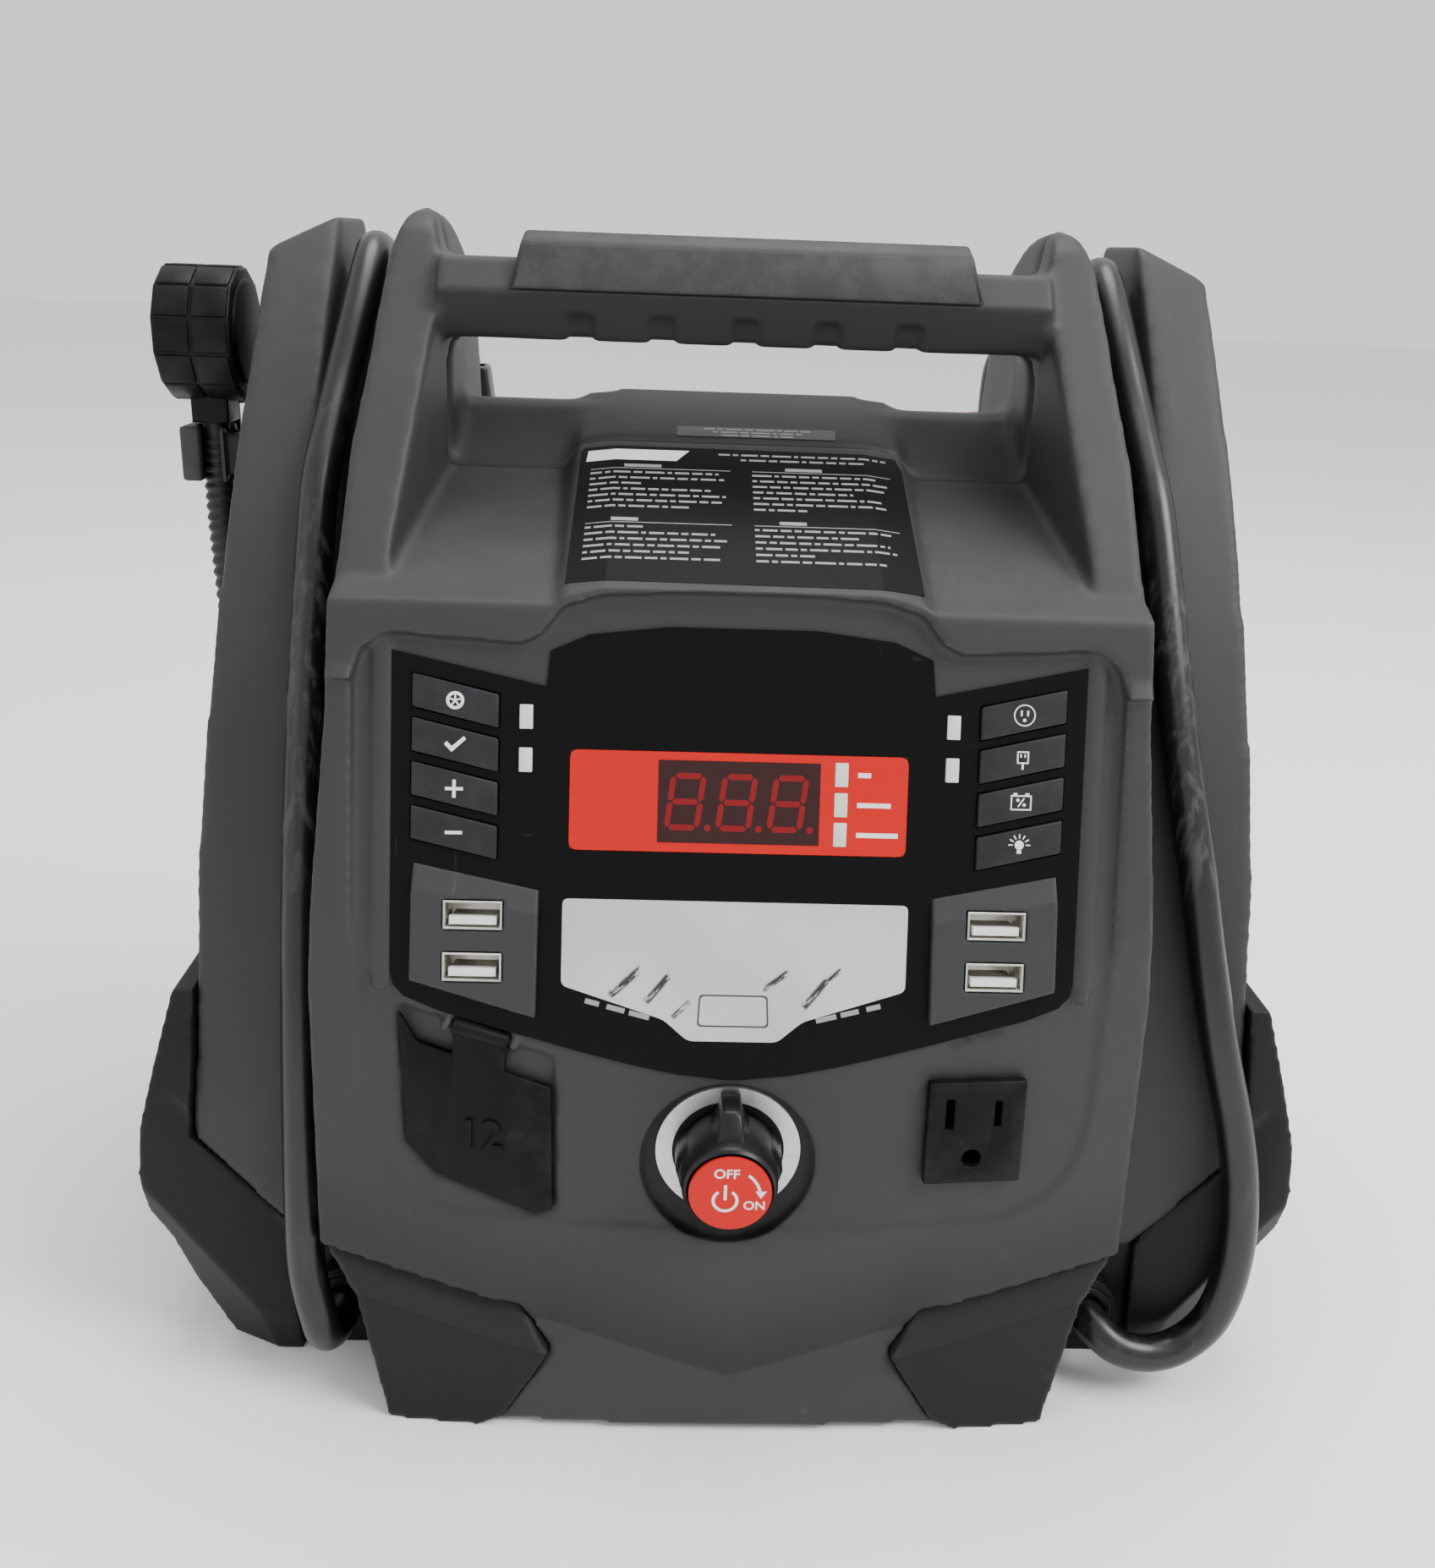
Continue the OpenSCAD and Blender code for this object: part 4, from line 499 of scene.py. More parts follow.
def merged(node, dissolve=True):
    """A welded copy of a CAD node's mesh as a bmesh."""
    shape = bmesh.new()
    shape.from_mesh(frame["nodes"][node].data)
    bmesh.ops.remove_doubles(shape, verts=shape.verts[:], dist=0.004 * MM)
    if dissolve:
        bmesh.ops.dissolve_limit(shape, angle_limit=math.radians(0.6), verts=shape.verts[:],
                                 edges=shape.edges[:])
    return shape


def to_mesh(shape, name):
    mesh = bpy.data.meshes.new(name)
    shape.to_mesh(mesh)
    shape.free()
    return mesh


def place_shape(shape, place):
    """Takes a shape from millimetres in its own frame to its place on the case."""
    bmesh.ops.scale(shape, verts=shape.verts[:], vec=(MM, MM, MM))
    bmesh.ops.transform(shape, matrix=place, verts=shape.verts[:])


def evaluated_mesh(made):
    graph = bpy.context.evaluated_depsgraph_get()
    graph.update()
    return bpy.data.meshes.new_from_object(made.evaluated_get(graph))


def modify(made, kind, **values):
    """Runs one modifier over a piece and bakes it into its mesh."""
    adjust(made.modifiers.new(kind.lower(), kind), **values)
    mesh = evaluated_mesh(made)
    old = made.data
    made.modifiers.clear()
    made.data = mesh
    bpy.data.meshes.remove(old)


def bevelled(node, name, finish, width=0.5, segments=2):
    """A copy of a node with its corners rounded, which stands for it."""
    made = add_object(name, to_mesh(merged(node), name), finish, BODY_OF[node])
    modify(made, "BEVEL", width=width * MM, segments=segments, limit_method="ANGLE",
           angle_limit=math.radians(30), use_clamp_overlap=False, harden_normals=False)
    finish_mesh(made, 35)
    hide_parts(node)


def softened(node, name, finish, voxel, rounds, most_faces, shape_more=None, roll_more=None):
    """A copy of a node remeshed finely and smoothed, so that its edges roll as in a real moulding."""
    data = to_mesh(merged(node, False), name)
    made = add_object(name, data, finish, BODY_OF[node])
    modify(made, "REMESH", mode="VOXEL", voxel_size=voxel * MM)
    modify(made, "SMOOTH", factor=0.5, iterations=rounds)
    if roll_more:
        group = made.vertex_groups.new(name="rolled_more")
        for vertex in made.data.vertices:
            group.add([vertex.index], roll_more(vertex.co / MM), "REPLACE")
        modify(made, "SMOOTH", factor=0.5, iterations=14, vertex_group=group.name)
    if shape_more:
        for vertex in made.data.vertices:
            vertex.co = shape_more(vertex.co)
    modify(made, "DECIMATE", ratio=min(1.0, most_faces / (2 * len(made.data.polygons))))
    finish_mesh(made)
    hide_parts(node)


def keep(finish, *nodes):
    """CAD nodes whose shape stays, in a better finish."""
    for node in nodes:
        materials = frame["nodes"][node].data.materials
        materials.clear()
        materials.append(finish)


# ---------- flat signs, in millimetres ----------
def add_bar(shape, x, y, width, height, turn=0.0):
    place = (Matrix.Translation((x, y, 0)) @ Matrix.Rotation(math.radians(turn), 4, "Z")
             @ Matrix.Diagonal((width, height, 1, 1)))
    bmesh.ops.create_grid(shape, x_segments=1, y_segments=1, size=0.5, matrix=place)


def add_disc(shape, x, y, radius, segments=28):
    bmesh.ops.create_circle(shape, cap_ends=True, radius=radius, segments=segments,
                            matrix=Matrix.Translation((x, y, 0)))


def add_arc(shape, x, y, outer, inner, start=0.0, end=360.0, steps=36):
    """A flat ring, or the part of one from start to end, in degrees from +x."""
    whole = abs(end - start) >= 360
    way = Vector((math.cos(math.radians(start)), math.sin(math.radians(start)), 0))
    ends = [shape.verts.new(Vector((x, y, 0)) + way * r) for r in (inner, outer)]
    edge = shape.edges.new(ends)
    bmesh.ops.spin(shape, geom=ends + [edge], cent=(x, y, 0), axis=(0, 0, 1),
                   angle=math.radians(end - start), steps=steps, use_merge=whole)


def add_outline(shape, points):
    shape.faces.new([shape.verts.new((x, y, 0)) for x, y in points])


def round_edges(shape, edges, width, segments):
    bmesh.ops.bevel(shape, geom=edges, offset=width, segments=segments, profile=0.5, affect="EDGES",
                    material=-1)


def drawing(outline=(), rings=(), bars=(), discs=()):
    """A function that draws an outline, rings or arcs, turned bars and discs."""
    def build(shape):
        if outline:
            add_outline(shape, outline)
        for add, rows in ((add_arc, rings), (add_bar, bars), (add_disc, discs)):
            for row in rows:
                add(shape, *row)
    return build


def polar(radius, degrees, y=0.0):
    turn = math.radians(degrees)
    return radius * math.cos(turn), y + radius * math.sin(turn)


def sign(name, build, place, thickness, finish, body="case", folds=(), drop=None):
    """A thin raised print, made in its plane, bent by drop(x) along its folds, then put in place."""
    shape = bmesh.new()
    build(shape)
    bmesh.ops.remove_doubles(shape, verts=shape.verts[:], dist=0.0005)
    for x in folds:
        whole = shape.verts[:] + shape.edges[:] + shape.faces[:]
        bmesh.ops.bisect_plane(shape, geom=whole, plane_co=(x, 0, 0), plane_no=(1, 0, 0))
    shape.normal_update()
    for face in shape.faces:
        if face.normal.z < 0:
            face.normal_flip()
    for vert in shape.verts:
        vert.co.z += drop(vert.co.x) if drop else 0.0
    top = bmesh.ops.extrude_face_region(shape, geom=shape.faces[:])
    raised = [item for item in top["geom"] if isinstance(item, bmesh.types.BMVert)]
    bmesh.ops.translate(shape, verts=raised, vec=(0, 0, thickness))
    bmesh.ops.recalc_face_normals(shape, faces=shape.faces[:])
    place_shape(shape, place)
    return add_object(name, to_mesh(shape, name), finish, body)


def lettering(name, words, size, place, thickness, finish, body, spread=1.0):
    """Generic words or numbers as a thin raised print."""
    curve = adjust(bpy.data.curves.new(name, "FONT"), body=words, size=size * MM, align_x="CENTER",
                   align_y="CENTER", extrude=thickness / 2 * MM, offset=0.018 * size * MM,
                   space_character=spread)
    holder = new_object(name + "_type", curve)
    mesh = evaluated_mesh(holder)
    bpy.data.objects.remove(holder)
    mesh.transform(place @ shift(0, 0, thickness / 2))
    mesh.name = name
    add_object(name, mesh, finish, body)


# ---------- housings ----------
# the folds' depth, how far out they reach and fade, how far back they act and fade, and their run-out
CREASE_DEPTH, FOLD_HALF, FOLD_FADE, FOLD_BACK, BACK_FADE, FOLD_END = 3.6, 60, 14, 8, 4, 12
# how far back the bumpers' band reaches, where it ends, and how much it leans
BAND_BACK, BAND_END, BAND_LEAN = 5, 106, 0.42
# where the extra rolling starts on the pillars and on the bar's ends, and over what length it grows
PILLAR_Z, PILLAR_FADE, PILLAR_ROLL, BAR_Z, BAR_END, BAR_FADE = 205, 12, 0.6, 268, 56, 8
REAR_Z, REAR_FADE = 225, 30


def ramp(value, length):
    """Grows from 0 to 1 over a length."""
    return min(1.0, max(0.0, value / length))


def press_front(point):
    """Soft V-shaped creases low on the front, as if folded into the sheet, its wall and all."""
    x, y, z = point / MM
    upper = FOLD_TOP + FOLD_TOP_RISE * abs(x - FOLD_X)
    lower = FOLD_LOW + FOLD_LOW_RISE * abs(x - FOLD_X)
    share = ramp(upper - z, upper - lower) * (1 - ramp(lower - z, FOLD_END))
    fade = ramp(FOLD_HALF - abs(x), FOLD_FADE) * ramp(FOLD_BACK - y + bow_y(x, z), BACK_FADE)
    return Vector((point.x, point.y + CREASE_DEPTH * MM * share * fade, point.z))


def slope_bumper(point):
    """The bumper's upper band, which leans back above a crease."""
    x, y, z = point / MM
    above = z - (BAND_Z + BAND_RISE * (abs(x) - BAND_X))
    if y > bow_y(x, z, 0) + BAND_BACK or abs(x) > BAND_END or above < 0:
        return point
    return Vector((point.x, point.y + BAND_LEAN * above * MM, point.z))


def roll_front(place):
    """More rolling on the pillars and round the handle bar's ends than on the frame and notches."""
    share = ramp(abs(place.x) - BAR_END, BAR_FADE) if place.z > BAR_Z else PILLAR_ROLL
    return ramp(place.z - PILLAR_Z, PILLAR_FADE) * share


def roll_rear(place):
    """More rolling on the tips of the wings and pillars."""
    return ramp(place.z - REAR_Z, REAR_FADE)


softened("front_shell", "front_housing", housing, 1.0, 4, 190000, press_front, roll_front)
softened("rear_shell", "rear_housing", housing, 1.5, 3, 180000, None, roll_rear)
for side in ("left", "right"):
    softened(f"bumper_{side}", f"bumper_{side}_block", bumper_black, 1.0, 2, 120000, slope_bumper)
bevelled("handle_grip", "handle_pad", housing, 1.2, 3)
bevelled("base_plate", "base_panel", black_plastic, 0.8)

keep(overlay_film, "panel_overlay")
keep(red_film, "knob_disc")
keep(window_film, "display_window")
keep(black_plastic, "cover_pin", "display_module", "battery_switch", "dc_socket", "fan_rotor")
keep(board_green, "control_board", "inverter")
keep(dial_silver, "knob_dial")
keep(steel, "clamp_left_pin", "clamp_right_pin", "clamp_springs", "compressor")
keep(strap_weave, "battery_strap")
for side in ("left", "right"):
    softened(f"usb_pod_{side}", f"usb_block_{side}", housing, 0.4, 6, 40000)
    bevelled(f"cable_gland_{side}", f"cable_boot_{side}", black_plastic, 0.6)
for row in (("battery", "battery_block", battery_case, 1.5),
            ("indicator_lenses", "light_bars", lens_white, 0.25),
            ("socket_cover", "socket_flap", cover_black, 0.45),
            ("ac_outlet", "outlet_block", cover_black, 0.5),
            ("hose_fitting", "hose_collar", black_plastic, 0.6),
            ("chuck_bracket", "chuck_clip", housing, 1.0),
            ("chuck_lever", "chuck_thumb_lever", black_plastic, 0.5),
            ("ac_inlet", "inlet_block", black_plastic, 0.4),
            ("inlet_flap", "inlet_cover", black_plastic, 0.6),
            ("light_lens", "work_light_lens", lens_white, 0.6),
            ("case_screws", "screw_set", steel, 0.2),
            ("chuck_body", "chuck_head", black_plastic, 0.7, 3)):
    bevelled(*row)
for side, finish in (("left", clamp_black), ("right", clamp_red)):
    bevelled(f"clamp_{side}_fixed", f"clamp_{side}_grip", finish, 1.2, 3)
    bevelled(f"clamp_{side}_moving", f"clamp_{side}_arm", finish, 1.2, 3)


CHUCK_PLACE = shift(-156, 40, 271.5)
CHUCK_FLATS = 12
CHUCK_FLAT = 19 * math.cos(math.pi / CHUCK_FLATS)
PAD_X, PAD_SIZE, PAD_EDGE = 5.4, (9.8, 9.0, 1.3), 0.6


def make_chuck_pads():
    """Two rings of raised pads round the faceted chuck head."""
    shape = bmesh.new()
    for turn in range(CHUCK_FLATS):
        spin = Matrix.Rotation(2 * math.pi * turn / CHUCK_FLATS, 4, "X")
        for x in (-PAD_X, PAD_X):
            place = spin @ Matrix.Translation((x, 0, CHUCK_FLAT)) @ Matrix.Diagonal((*PAD_SIZE, 1))
            pad = bmesh.ops.create_cube(shape, size=1, matrix=place)
            edges = {edge for vert in pad["verts"] for edge in vert.link_edges}
            round_edges(shape, list(edges), PAD_EDGE, 2)
    place_shape(shape, CHUCK_PLACE)
    mesh = to_mesh(shape, "chuck_pads")
    made = add_object("chuck_pads", mesh, black_plastic, "case")
    finish_mesh(made, 40)


make_chuck_pads()


# ---------- keys ----------
KEY_X, KEY_PITCH, KEY_MID, KEY_TOP, KEY_ROWS = 69.9, 10.8, 6.85, 1.78, 4
MARKS = {
    "tyre": drawing(rings=[(0, 0, 2.2, 1.45)], discs=[(0, 0, 0.5, 14)],
                    bars=[(*polar(0.95, turn), 1.1, 0.4, turn) for turn in range(18, 378, 72)]),
    "set": drawing([(-2.6, 0.1), (-1.9, 0.8), (-0.7, -0.4), (2.2, 2.1), (2.8, 1.4), (-0.7, -1.8)]),
    "plus": drawing([(-2.2, -0.4), (-0.4, -0.4), (-0.4, -2.2), (0.4, -2.2), (0.4, -0.4), (2.2, -0.4),
                     (2.2, 0.4), (0.4, 0.4), (0.4, 2.2), (-0.4, 2.2), (-0.4, 0.4), (-2.2, 0.4)]),
    "minus": drawing(bars=[(0, 0, 4.2, 0.8)]),
    "outlet": drawing(rings=[(0, 0, 2.7, 2.4)], discs=[(0, -1.2, 0.42, 14)],
                      bars=[(-0.8, 0.5, 0.45, 1.4), (0.8, 0.5, 0.45, 1.4)]),
    # a plug: a shell with two contacts and a cord
    "usb": drawing(bars=[(-1.3, 0.4, 0.35, 3), (1.3, 0.4, 0.35, 3), (0, 1.75, 2.95, 0.35),
                         (0, -1, 2.95, 0.35), (-0.5, 0.8, 0.4, 0.8), (0.5, 0.8, 0.4, 0.8),
                         (0, -1.9, 0.5, 1.4)]),
    "battery": drawing(bars=[(0, 1.65, 5.2, 0.35), (0, -1.75, 5.2, 0.35), (-2.43, 0, 0.35, 3.1),
                             (2.43, 0, 0.35, 3.1), (-1.5, 2.1, 1, 0.5), (1.5, 2.1, 1, 0.5),
                             (0, 0, 0.35, 2.6, -35)],
                       discs=[(-0.8, 0.6, 0.42, 14), (0.8, -0.6, 0.42, 14)]),
    "light": drawing(discs=[(0, 0.2, 1.15, 24)], bars=[(0, -1.5, 1.1, 0.9)]
                     + [(*polar(2.2, turn, 0.2), 1.1, 0.3, turn) for turn in range(0, 181, 30)]),
}
for order, (key, draw_mark) in enumerate(MARKS.items()):
    side = -1 if order < KEY_ROWS else 1
    middle = KEY_MID + (1.5 - order % KEY_ROWS) * KEY_PITCH
    bevelled(f"key_{key}", f"key_cap_{key}", key_rubber, 0.5, 3)
    sign(f"mark_{key}", draw_mark, on_panel(side * KEY_X, middle, KEY_TOP), 0.08, print_white,
         BODY_OF[f"key_{key}"])


# ---------- display ----------
def rounded(points, radius, steps=5):
    """The outline with its corners rounded."""
    out = []
    for i, corner in enumerate(points):
        here = Vector(corner)
        before = Vector(points[i - 1])
        after = Vector(points[(i + 1) % len(points)])
        start = here + (before - here).normalized() * radius
        end = here + (after - here).normalized() * radius
        for k in range(steps + 1):
            f = k / steps
            out.append(tuple((1 - f) ** 2 * start + 2 * f * (1 - f) * here + f * f * end))
    return out


RED_FIELD = [(-41.8, -13), (41.8, -13), (41.8, 11.8), (-41.8, 11.8)]
PLATE = [(-43, -25.2), (-43, -47), (-17.4, -55.2), (-11.2, -60.5), (11.2, -60.5), (17.4, -55.2),
         (43, -47), (43, -25.2)]
BADGE = [(-9, -56.8), (9, -56.8), (8.6, -48.6), (-8.6, -48.6)]
BADGE_MIDDLE = -52.7


def panel_print(name, build, out, thickness, finish, v=0):
    return sign(name, build, on_panel(0, v, out), thickness, finish, "case")


red_label = panel_print("red_label", drawing(rounded(RED_FIELD, 2.2)), 0.1, 0.65, red_film)
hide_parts("display_label")
plate = panel_print("foil_plate", drawing(rounded(PLATE, 1.6)), 0.1, 0.65, nameplate_foil)
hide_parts("nameplate")


def draw_badge(shape):
    """A plain rounded frame low on the plate."""
    outer = rounded(BADGE, 1.2)
    inner = [(x * 0.95, BADGE_MIDDLE + (y - BADGE_MIDDLE) * 0.9) for x, y in outer]
    verts = [[shape.verts.new((x, y, 0)) for x, y in ring] for ring in (outer, inner)]
    for i in range(len(outer)):
        k = (i + 1) % len(outer)
        shape.faces.new((verts[0][i], verts[0][k], verts[1][k], verts[1][i]))


# short bars beside the plate's lower edges, where small print runs down towards the middle
SLANT_LINES = drawing(bars=[(side * (35.2 - 5.9 * k), -51.2 - 1.5 * k, width, 1.3, side * 14)
                            for side in (-1, 1) for k, width in enumerate((3.6, 4.6, 5.2))])
# short bars where each centre light has its caption
CAPTIONS = drawing(bars=[(29.3 + width / 2, 7.1 - 7.45 * row, width, 1.2)
                         for row, width in enumerate((3.2, 8.4, 10.4))])
# the seven bars of a digit: across and up in half sizes, and whether the bar stands
SEGMENTS = [(0, 1, 0), (0, 0, 0), (0, -1, 0), (-1, 0.5, 1), (1, 0.5, 1), (-1, -0.5, 1), (1, -0.5, 1)]
LYING = [(-3.3, 0), (-2.6, -0.75), (2.6, -0.75), (3.3, 0), (2.6, 0.75), (-2.6, 0.75)]
STANDING = [(0, -3.1), (0.725, -2.35), (0.725, 2.35), (0, 3.1), (-0.725, 2.35), (-0.725, -2.35)]
DIGITS, DIGIT_PITCH, DIGIT_SHIFT, DIGIT_SLANT = 3, 12.7, -0.6, 0.12
DIGIT_HALF_W, DIGIT_HALF_H = 3.7, 6.4


def draw_digits(shape):
    """Slanted seven-bar digits with their points."""
    for digit in range(DIGITS):
        middle = (digit - 1) * DIGIT_PITCH + DIGIT_SHIFT
        for across, up, stands in SEGMENTS:
            y = up * DIGIT_HALF_H
            x = across * DIGIT_HALF_W + DIGIT_SLANT * y + middle
            points, lean = (STANDING, DIGIT_SLANT) if stands else (LYING, 0)
            add_outline(shape, [(x + px + lean * py, y + py) for px, py in points])
        add_disc(shape, middle + 5.6, -DIGIT_HALF_H, 0.85, 18)


panel_print("plate_badge", draw_badge, 0.74, 0.05, label_grey)
panel_print("panel_small_print", SLANT_LINES, 0.6, 0.05, print_grey)
panel_print("display_digits", draw_digits, 0.86, 0.05, segment_film, -0.45)
panel_print("display_captions", CAPTIONS, 0.72, 0.04, print_white)


# ---------- label on the hump ----------
# the flat middle's half width, and how far the shoulders fall over how much width
HUMP_FLAT, HUMP_FALL, HUMP_SHOULDER = 34, 1.5, 10.5
LABEL = [(-44, 12), (44.3, 11), (44.3, 69), (43, 75), (-42.6, 76), (-43.6, 74)]
LABEL_TAG = [(-42, 68.5), (-17.5, 68.5), (-14, 74), (-41.6, 74)]


def hump_drop(x):
    """How far the hump's shoulders fall away beside its flat middle."""
    return -HUMP_FALL * max(0.0, abs(x) - HUMP_FLAT) / HUMP_SHOULDER


# the lengths of the words, and how much of its column each line fills
WORDS = (3.1, 1.5, 4.6, 2.3, 5.2, 1.2, 3.8, 2.8, 1.8, 4.1)
SHARES = (0.93, 0.97, 0.4, 0.9, 0.98, 0.95, 0.72)
WORD_GAP, LEAST_WORD, COLUMN, LINE_PITCH = 0.8, 0.5, 37, 2.8


def draw_words(shape, left, height, length, size, start):
    """A line of text as a row of short bars."""
    reach, word = 0.0, start
    while reach < length:
        width = min(WORDS[word % len(WORDS)], length - reach)
        if width > LEAST_WORD:
            add_bar(shape, left + reach + width / 2, height, width, size)
        reach += width + WORD_GAP
        word += 1


def draw_label_lines(shape):
    """Two columns of lines in two blocks each, with headings and rules, and two lines above."""
    for column, left in enumerate((-40.5, 3.0)):
        for block, (top, rows) in enumerate(((65.6, 7), (39.2, 6))):
            add_bar(shape, left + 14 - 4 * block, top, 10 - 3 * block, 1.5)
            add_bar(shape, left + 18.8, top - 1.45, 37.6, 0.3)
            for row in range(rows):
                share = SHARES[(row + 3 * column + 2 * block) % len(SHARES)]
                draw_words(shape, left, top - 3.4 - LINE_PITCH * row, COLUMN * share, 0.9,
                           row + 4 * column + block)
    for row in range(2):
        draw_words(shape, -6 + 6 * row, 72.6 - 2.6 * row, 46 - 12 * row, 0.9, row)


def draw_small_lines(shape):
    for row in range(3):
        draw_words(shape, -10 + 2.5 * row, 79.1 - 1.6 * row, 30 - 5 * row, 0.6, row)


def hump_print(name, build, along, out, finish):
    """A print on the hump, so far back from its front edge."""
    place = on_slope(HUMP_ORIGIN, HUMP_LEAN, 0, along, out)
    sign(name, build, place, 0.05, finish, "case", (-HUMP_FLAT, HUMP_FLAT), hump_drop)


LABEL_SHIFT, STRIP_SHIFT = -7.0, 0.4
hump_print("hump_label", drawing(LABEL), LABEL_SHIFT, 0.06, label_black)
hump_print("hump_label_lines", draw_label_lines, LABEL_SHIFT, 0.09, print_grey)
hump_print("hump_label_tag", drawing(LABEL_TAG), LABEL_SHIFT, 0.09, print_white)
hump_print("hump_strip", drawing(bars=[(4.7, 77.6, 44.5, 5.4)]), STRIP_SHIFT, 0.06, label_grey)
hump_print("hump_strip_lines", draw_small_lines, STRIP_SHIFT, 0.09, print_grey)


# ---------- knob, outlet and ports ----------
KNOB_BACK, DISC_FACE = -96.95, -114.84
# the cap's radius and height, the fin's half width, rise and height, the right half of the shoulders
KNOB_PROFILE = [(0, 0.4), (12.0, 0.4), (12.4, 0.9), (12.2, 9), (11.9, 15.2), (11.5, 16.4),
                (10.9, 16.95), (10.45, 16.6), (0, 16.6)]
KNOB_FIN = [(3.9, 4, 1.4), (3.9, 4, 14.6), (2.9, 13, 1.4), (3.5, 13, 13.4), (2.1, 17.9, 1.6),
            (2.3, 17.9, 9.5)]
SHOULDER_HALF = [(0, -13.1), (5, -12.1), (9.2, -9.3), (12.2, -4.8), (13.6, 0.4), (13.3, 3), (11.6, 5.8),
                 (7.6, 8.8), (4, 12.2), (3, 14.5), (2.4, 17.8)]
SHOULDER_RINGS = ((0.97, 0), (1, 0.7), (0.985, 8.5), (0.93, 10.5))


def knob_place(y):
    """Across, up and out of the knob's axis, at a depth on it."""
    return frame_of((0, y, KNOB_Z), UP, FRONT)


def add_fin(shape):
    """The pointer: a tall tapered ridge along the top of the knob."""
    corners = [Vector((side * w, y, out)) for w, y, out in KNOB_FIN for side in (-1, 1)]
    fin = bmesh.ops.convex_hull(shape, input=[shape.verts.new(co) for co in corners])
    faces = [item for item in fin["geom"] if isinstance(item, bmesh.types.BMFace)]
    edges = {edge for face in faces for edge in face.edges}
    round_edges(shape, list(edges), 0.8, 3)


def add_shoulders(shape):
    """The wide grip behind the cap, which runs up to the pointer in two hollow slopes."""
    ring = SHOULDER_HALF + [(-x, y) for x, y in reversed(SHOULDER_HALF) if x]
    loops = [[shape.verts.new((x * size, y * size, out)) for x, y in ring]
             for size, out in SHOULDER_RINGS]
    for low, high in zip(loops, loops[1:]):
        for i in range(len(ring)):
            k = (i + 1) % len(ring)
            shape.faces.new((low[i], low[k], high[k], high[i]))
    for loop in (loops[0], loops[-1]):
        shape.faces.new(loop)


def make_knob():
    """A wide grip, a round cap and a tall pointer, as one moulding."""
    shape = bmesh.new()
    add_fin(shape)
    add_shoulders(shape)
    verts = [shape.verts.new((0, r, out)) for r, out in KNOB_PROFILE]
    edges = [shape.edges.new(pair) for pair in zip(verts, verts[1:])]
    bmesh.ops.spin(shape, geom=verts + edges, cent=(0, 0, 0), axis=(0, 0, 1), angle=2 * math.pi,
                   steps=72, use_merge=True)
    bmesh.ops.remove_doubles(shape, verts=shape.verts[:], dist=0.001)
    bmesh.ops.recalc_face_normals(shape, faces=shape.faces[:])
    place_shape(shape, knob_place(KNOB_BACK))
    made = add_object("knob_cap", to_mesh(shape, "knob_cap"), knob_plastic, "knob")
    finish_mesh(made, 40)
    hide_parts("power_knob")


make_knob()

# the power sign, and the arrow from one word to the other
POWER = drawing([(8.9, 0.9), (6.2, 0.9), (7.5, -1.2)], bars=[(-1.2, 0.4, 0.75, 4.2)],
                rings=[(-1.2, -1.9, 3.3, 2.55, 125, 415, 28), (-0.5, -0.9, 8.3, 7.6, 12, 52, 12)])
disc_face = knob_place(DISC_FACE)
sign("disc_marks", POWER, disc_face, 0.05, print_white, "knob")
for word, size, x, up in (("OFF", 3.6, -1.0, 5.6), ("ON", 3.4, 6.0, -3.3)):
    spot = disc_face @ shift(x, up)
    lettering(f"disc_{word.lower()}", word, size, spot, 0.05, print_white, "knob")

USB_X, USB_ROWS = 64.8, {"top": -29.5, "low": -42.4}
TONGUE = drawing(bars=[(0, -1.35, 11.6, 2.1)])
for side, word in ((-1, "left"), (1, "right")):
    for row, v in USB_ROWS.items():
        bevelled(f"usb_port_{word}_{row}", f"usb_shell_{word}_{row}", port_steel, 0.12, 1)
        sign(f"usb_tongue_{word}_{row}", TONGUE, on_panel(side * USB_X, v, 0.2), 2.3, print_white)

lettering("flap_number", "12", 11.5, on_bow(-63, 86, 1.05), 0.5, cover_black, "cover",
          1.05)


# ---------- clamps and work light ----------
CLAMP_X, CLAMP_FACE, CLAMP_PIVOTS = 64, 83.456, {"left": 178, "right": 168}
# both edges of each handle at three heights above its pivot
GRIP_EDGES = {"fixed": [(12, 4, 21), (44, 9.5, 28), (84, 14.6, 30)],
              "moving": [(12, -21, -8), (44, -29, -13), (70, -31, -16)]}


def edge_at(rows, height):
    """Both edges of a clamp handle at a height above its pivot."""
    for (z0, a0, b0), (z1, a1, b1) in zip(rows, rows[1:]):
        if z0 <= height <= z1:
            f = (height - z0) / (z1 - z0)
            return a0 + f * (a1 - a0), b0 + f * (b1 - b0)


# the ribs up a handle: the first height, how far below the end they stop, their pitch and margin
RIB_START, RIB_STOP, RIB_PITCH, RIB_MARGIN = 22, 3, 5, 5
# the bare metal jaw plate beside the gap
JAW = [(5.4, -45), (5.4, -61), (7, -63), (11, -60.5), (16, -47), (11.5, -38)]


def ribs(rows, way):
    """Cross ribs up a clamp handle."""
    bars = []
    for height in range(RIB_START, rows[-1][0] - RIB_STOP, RIB_PITCH):
        low, high = edge_at(rows, height)
        bars.append((way * (low + high) / 2, height, high - low - RIB_MARGIN, 1.8))
    return drawing(bars=bars)


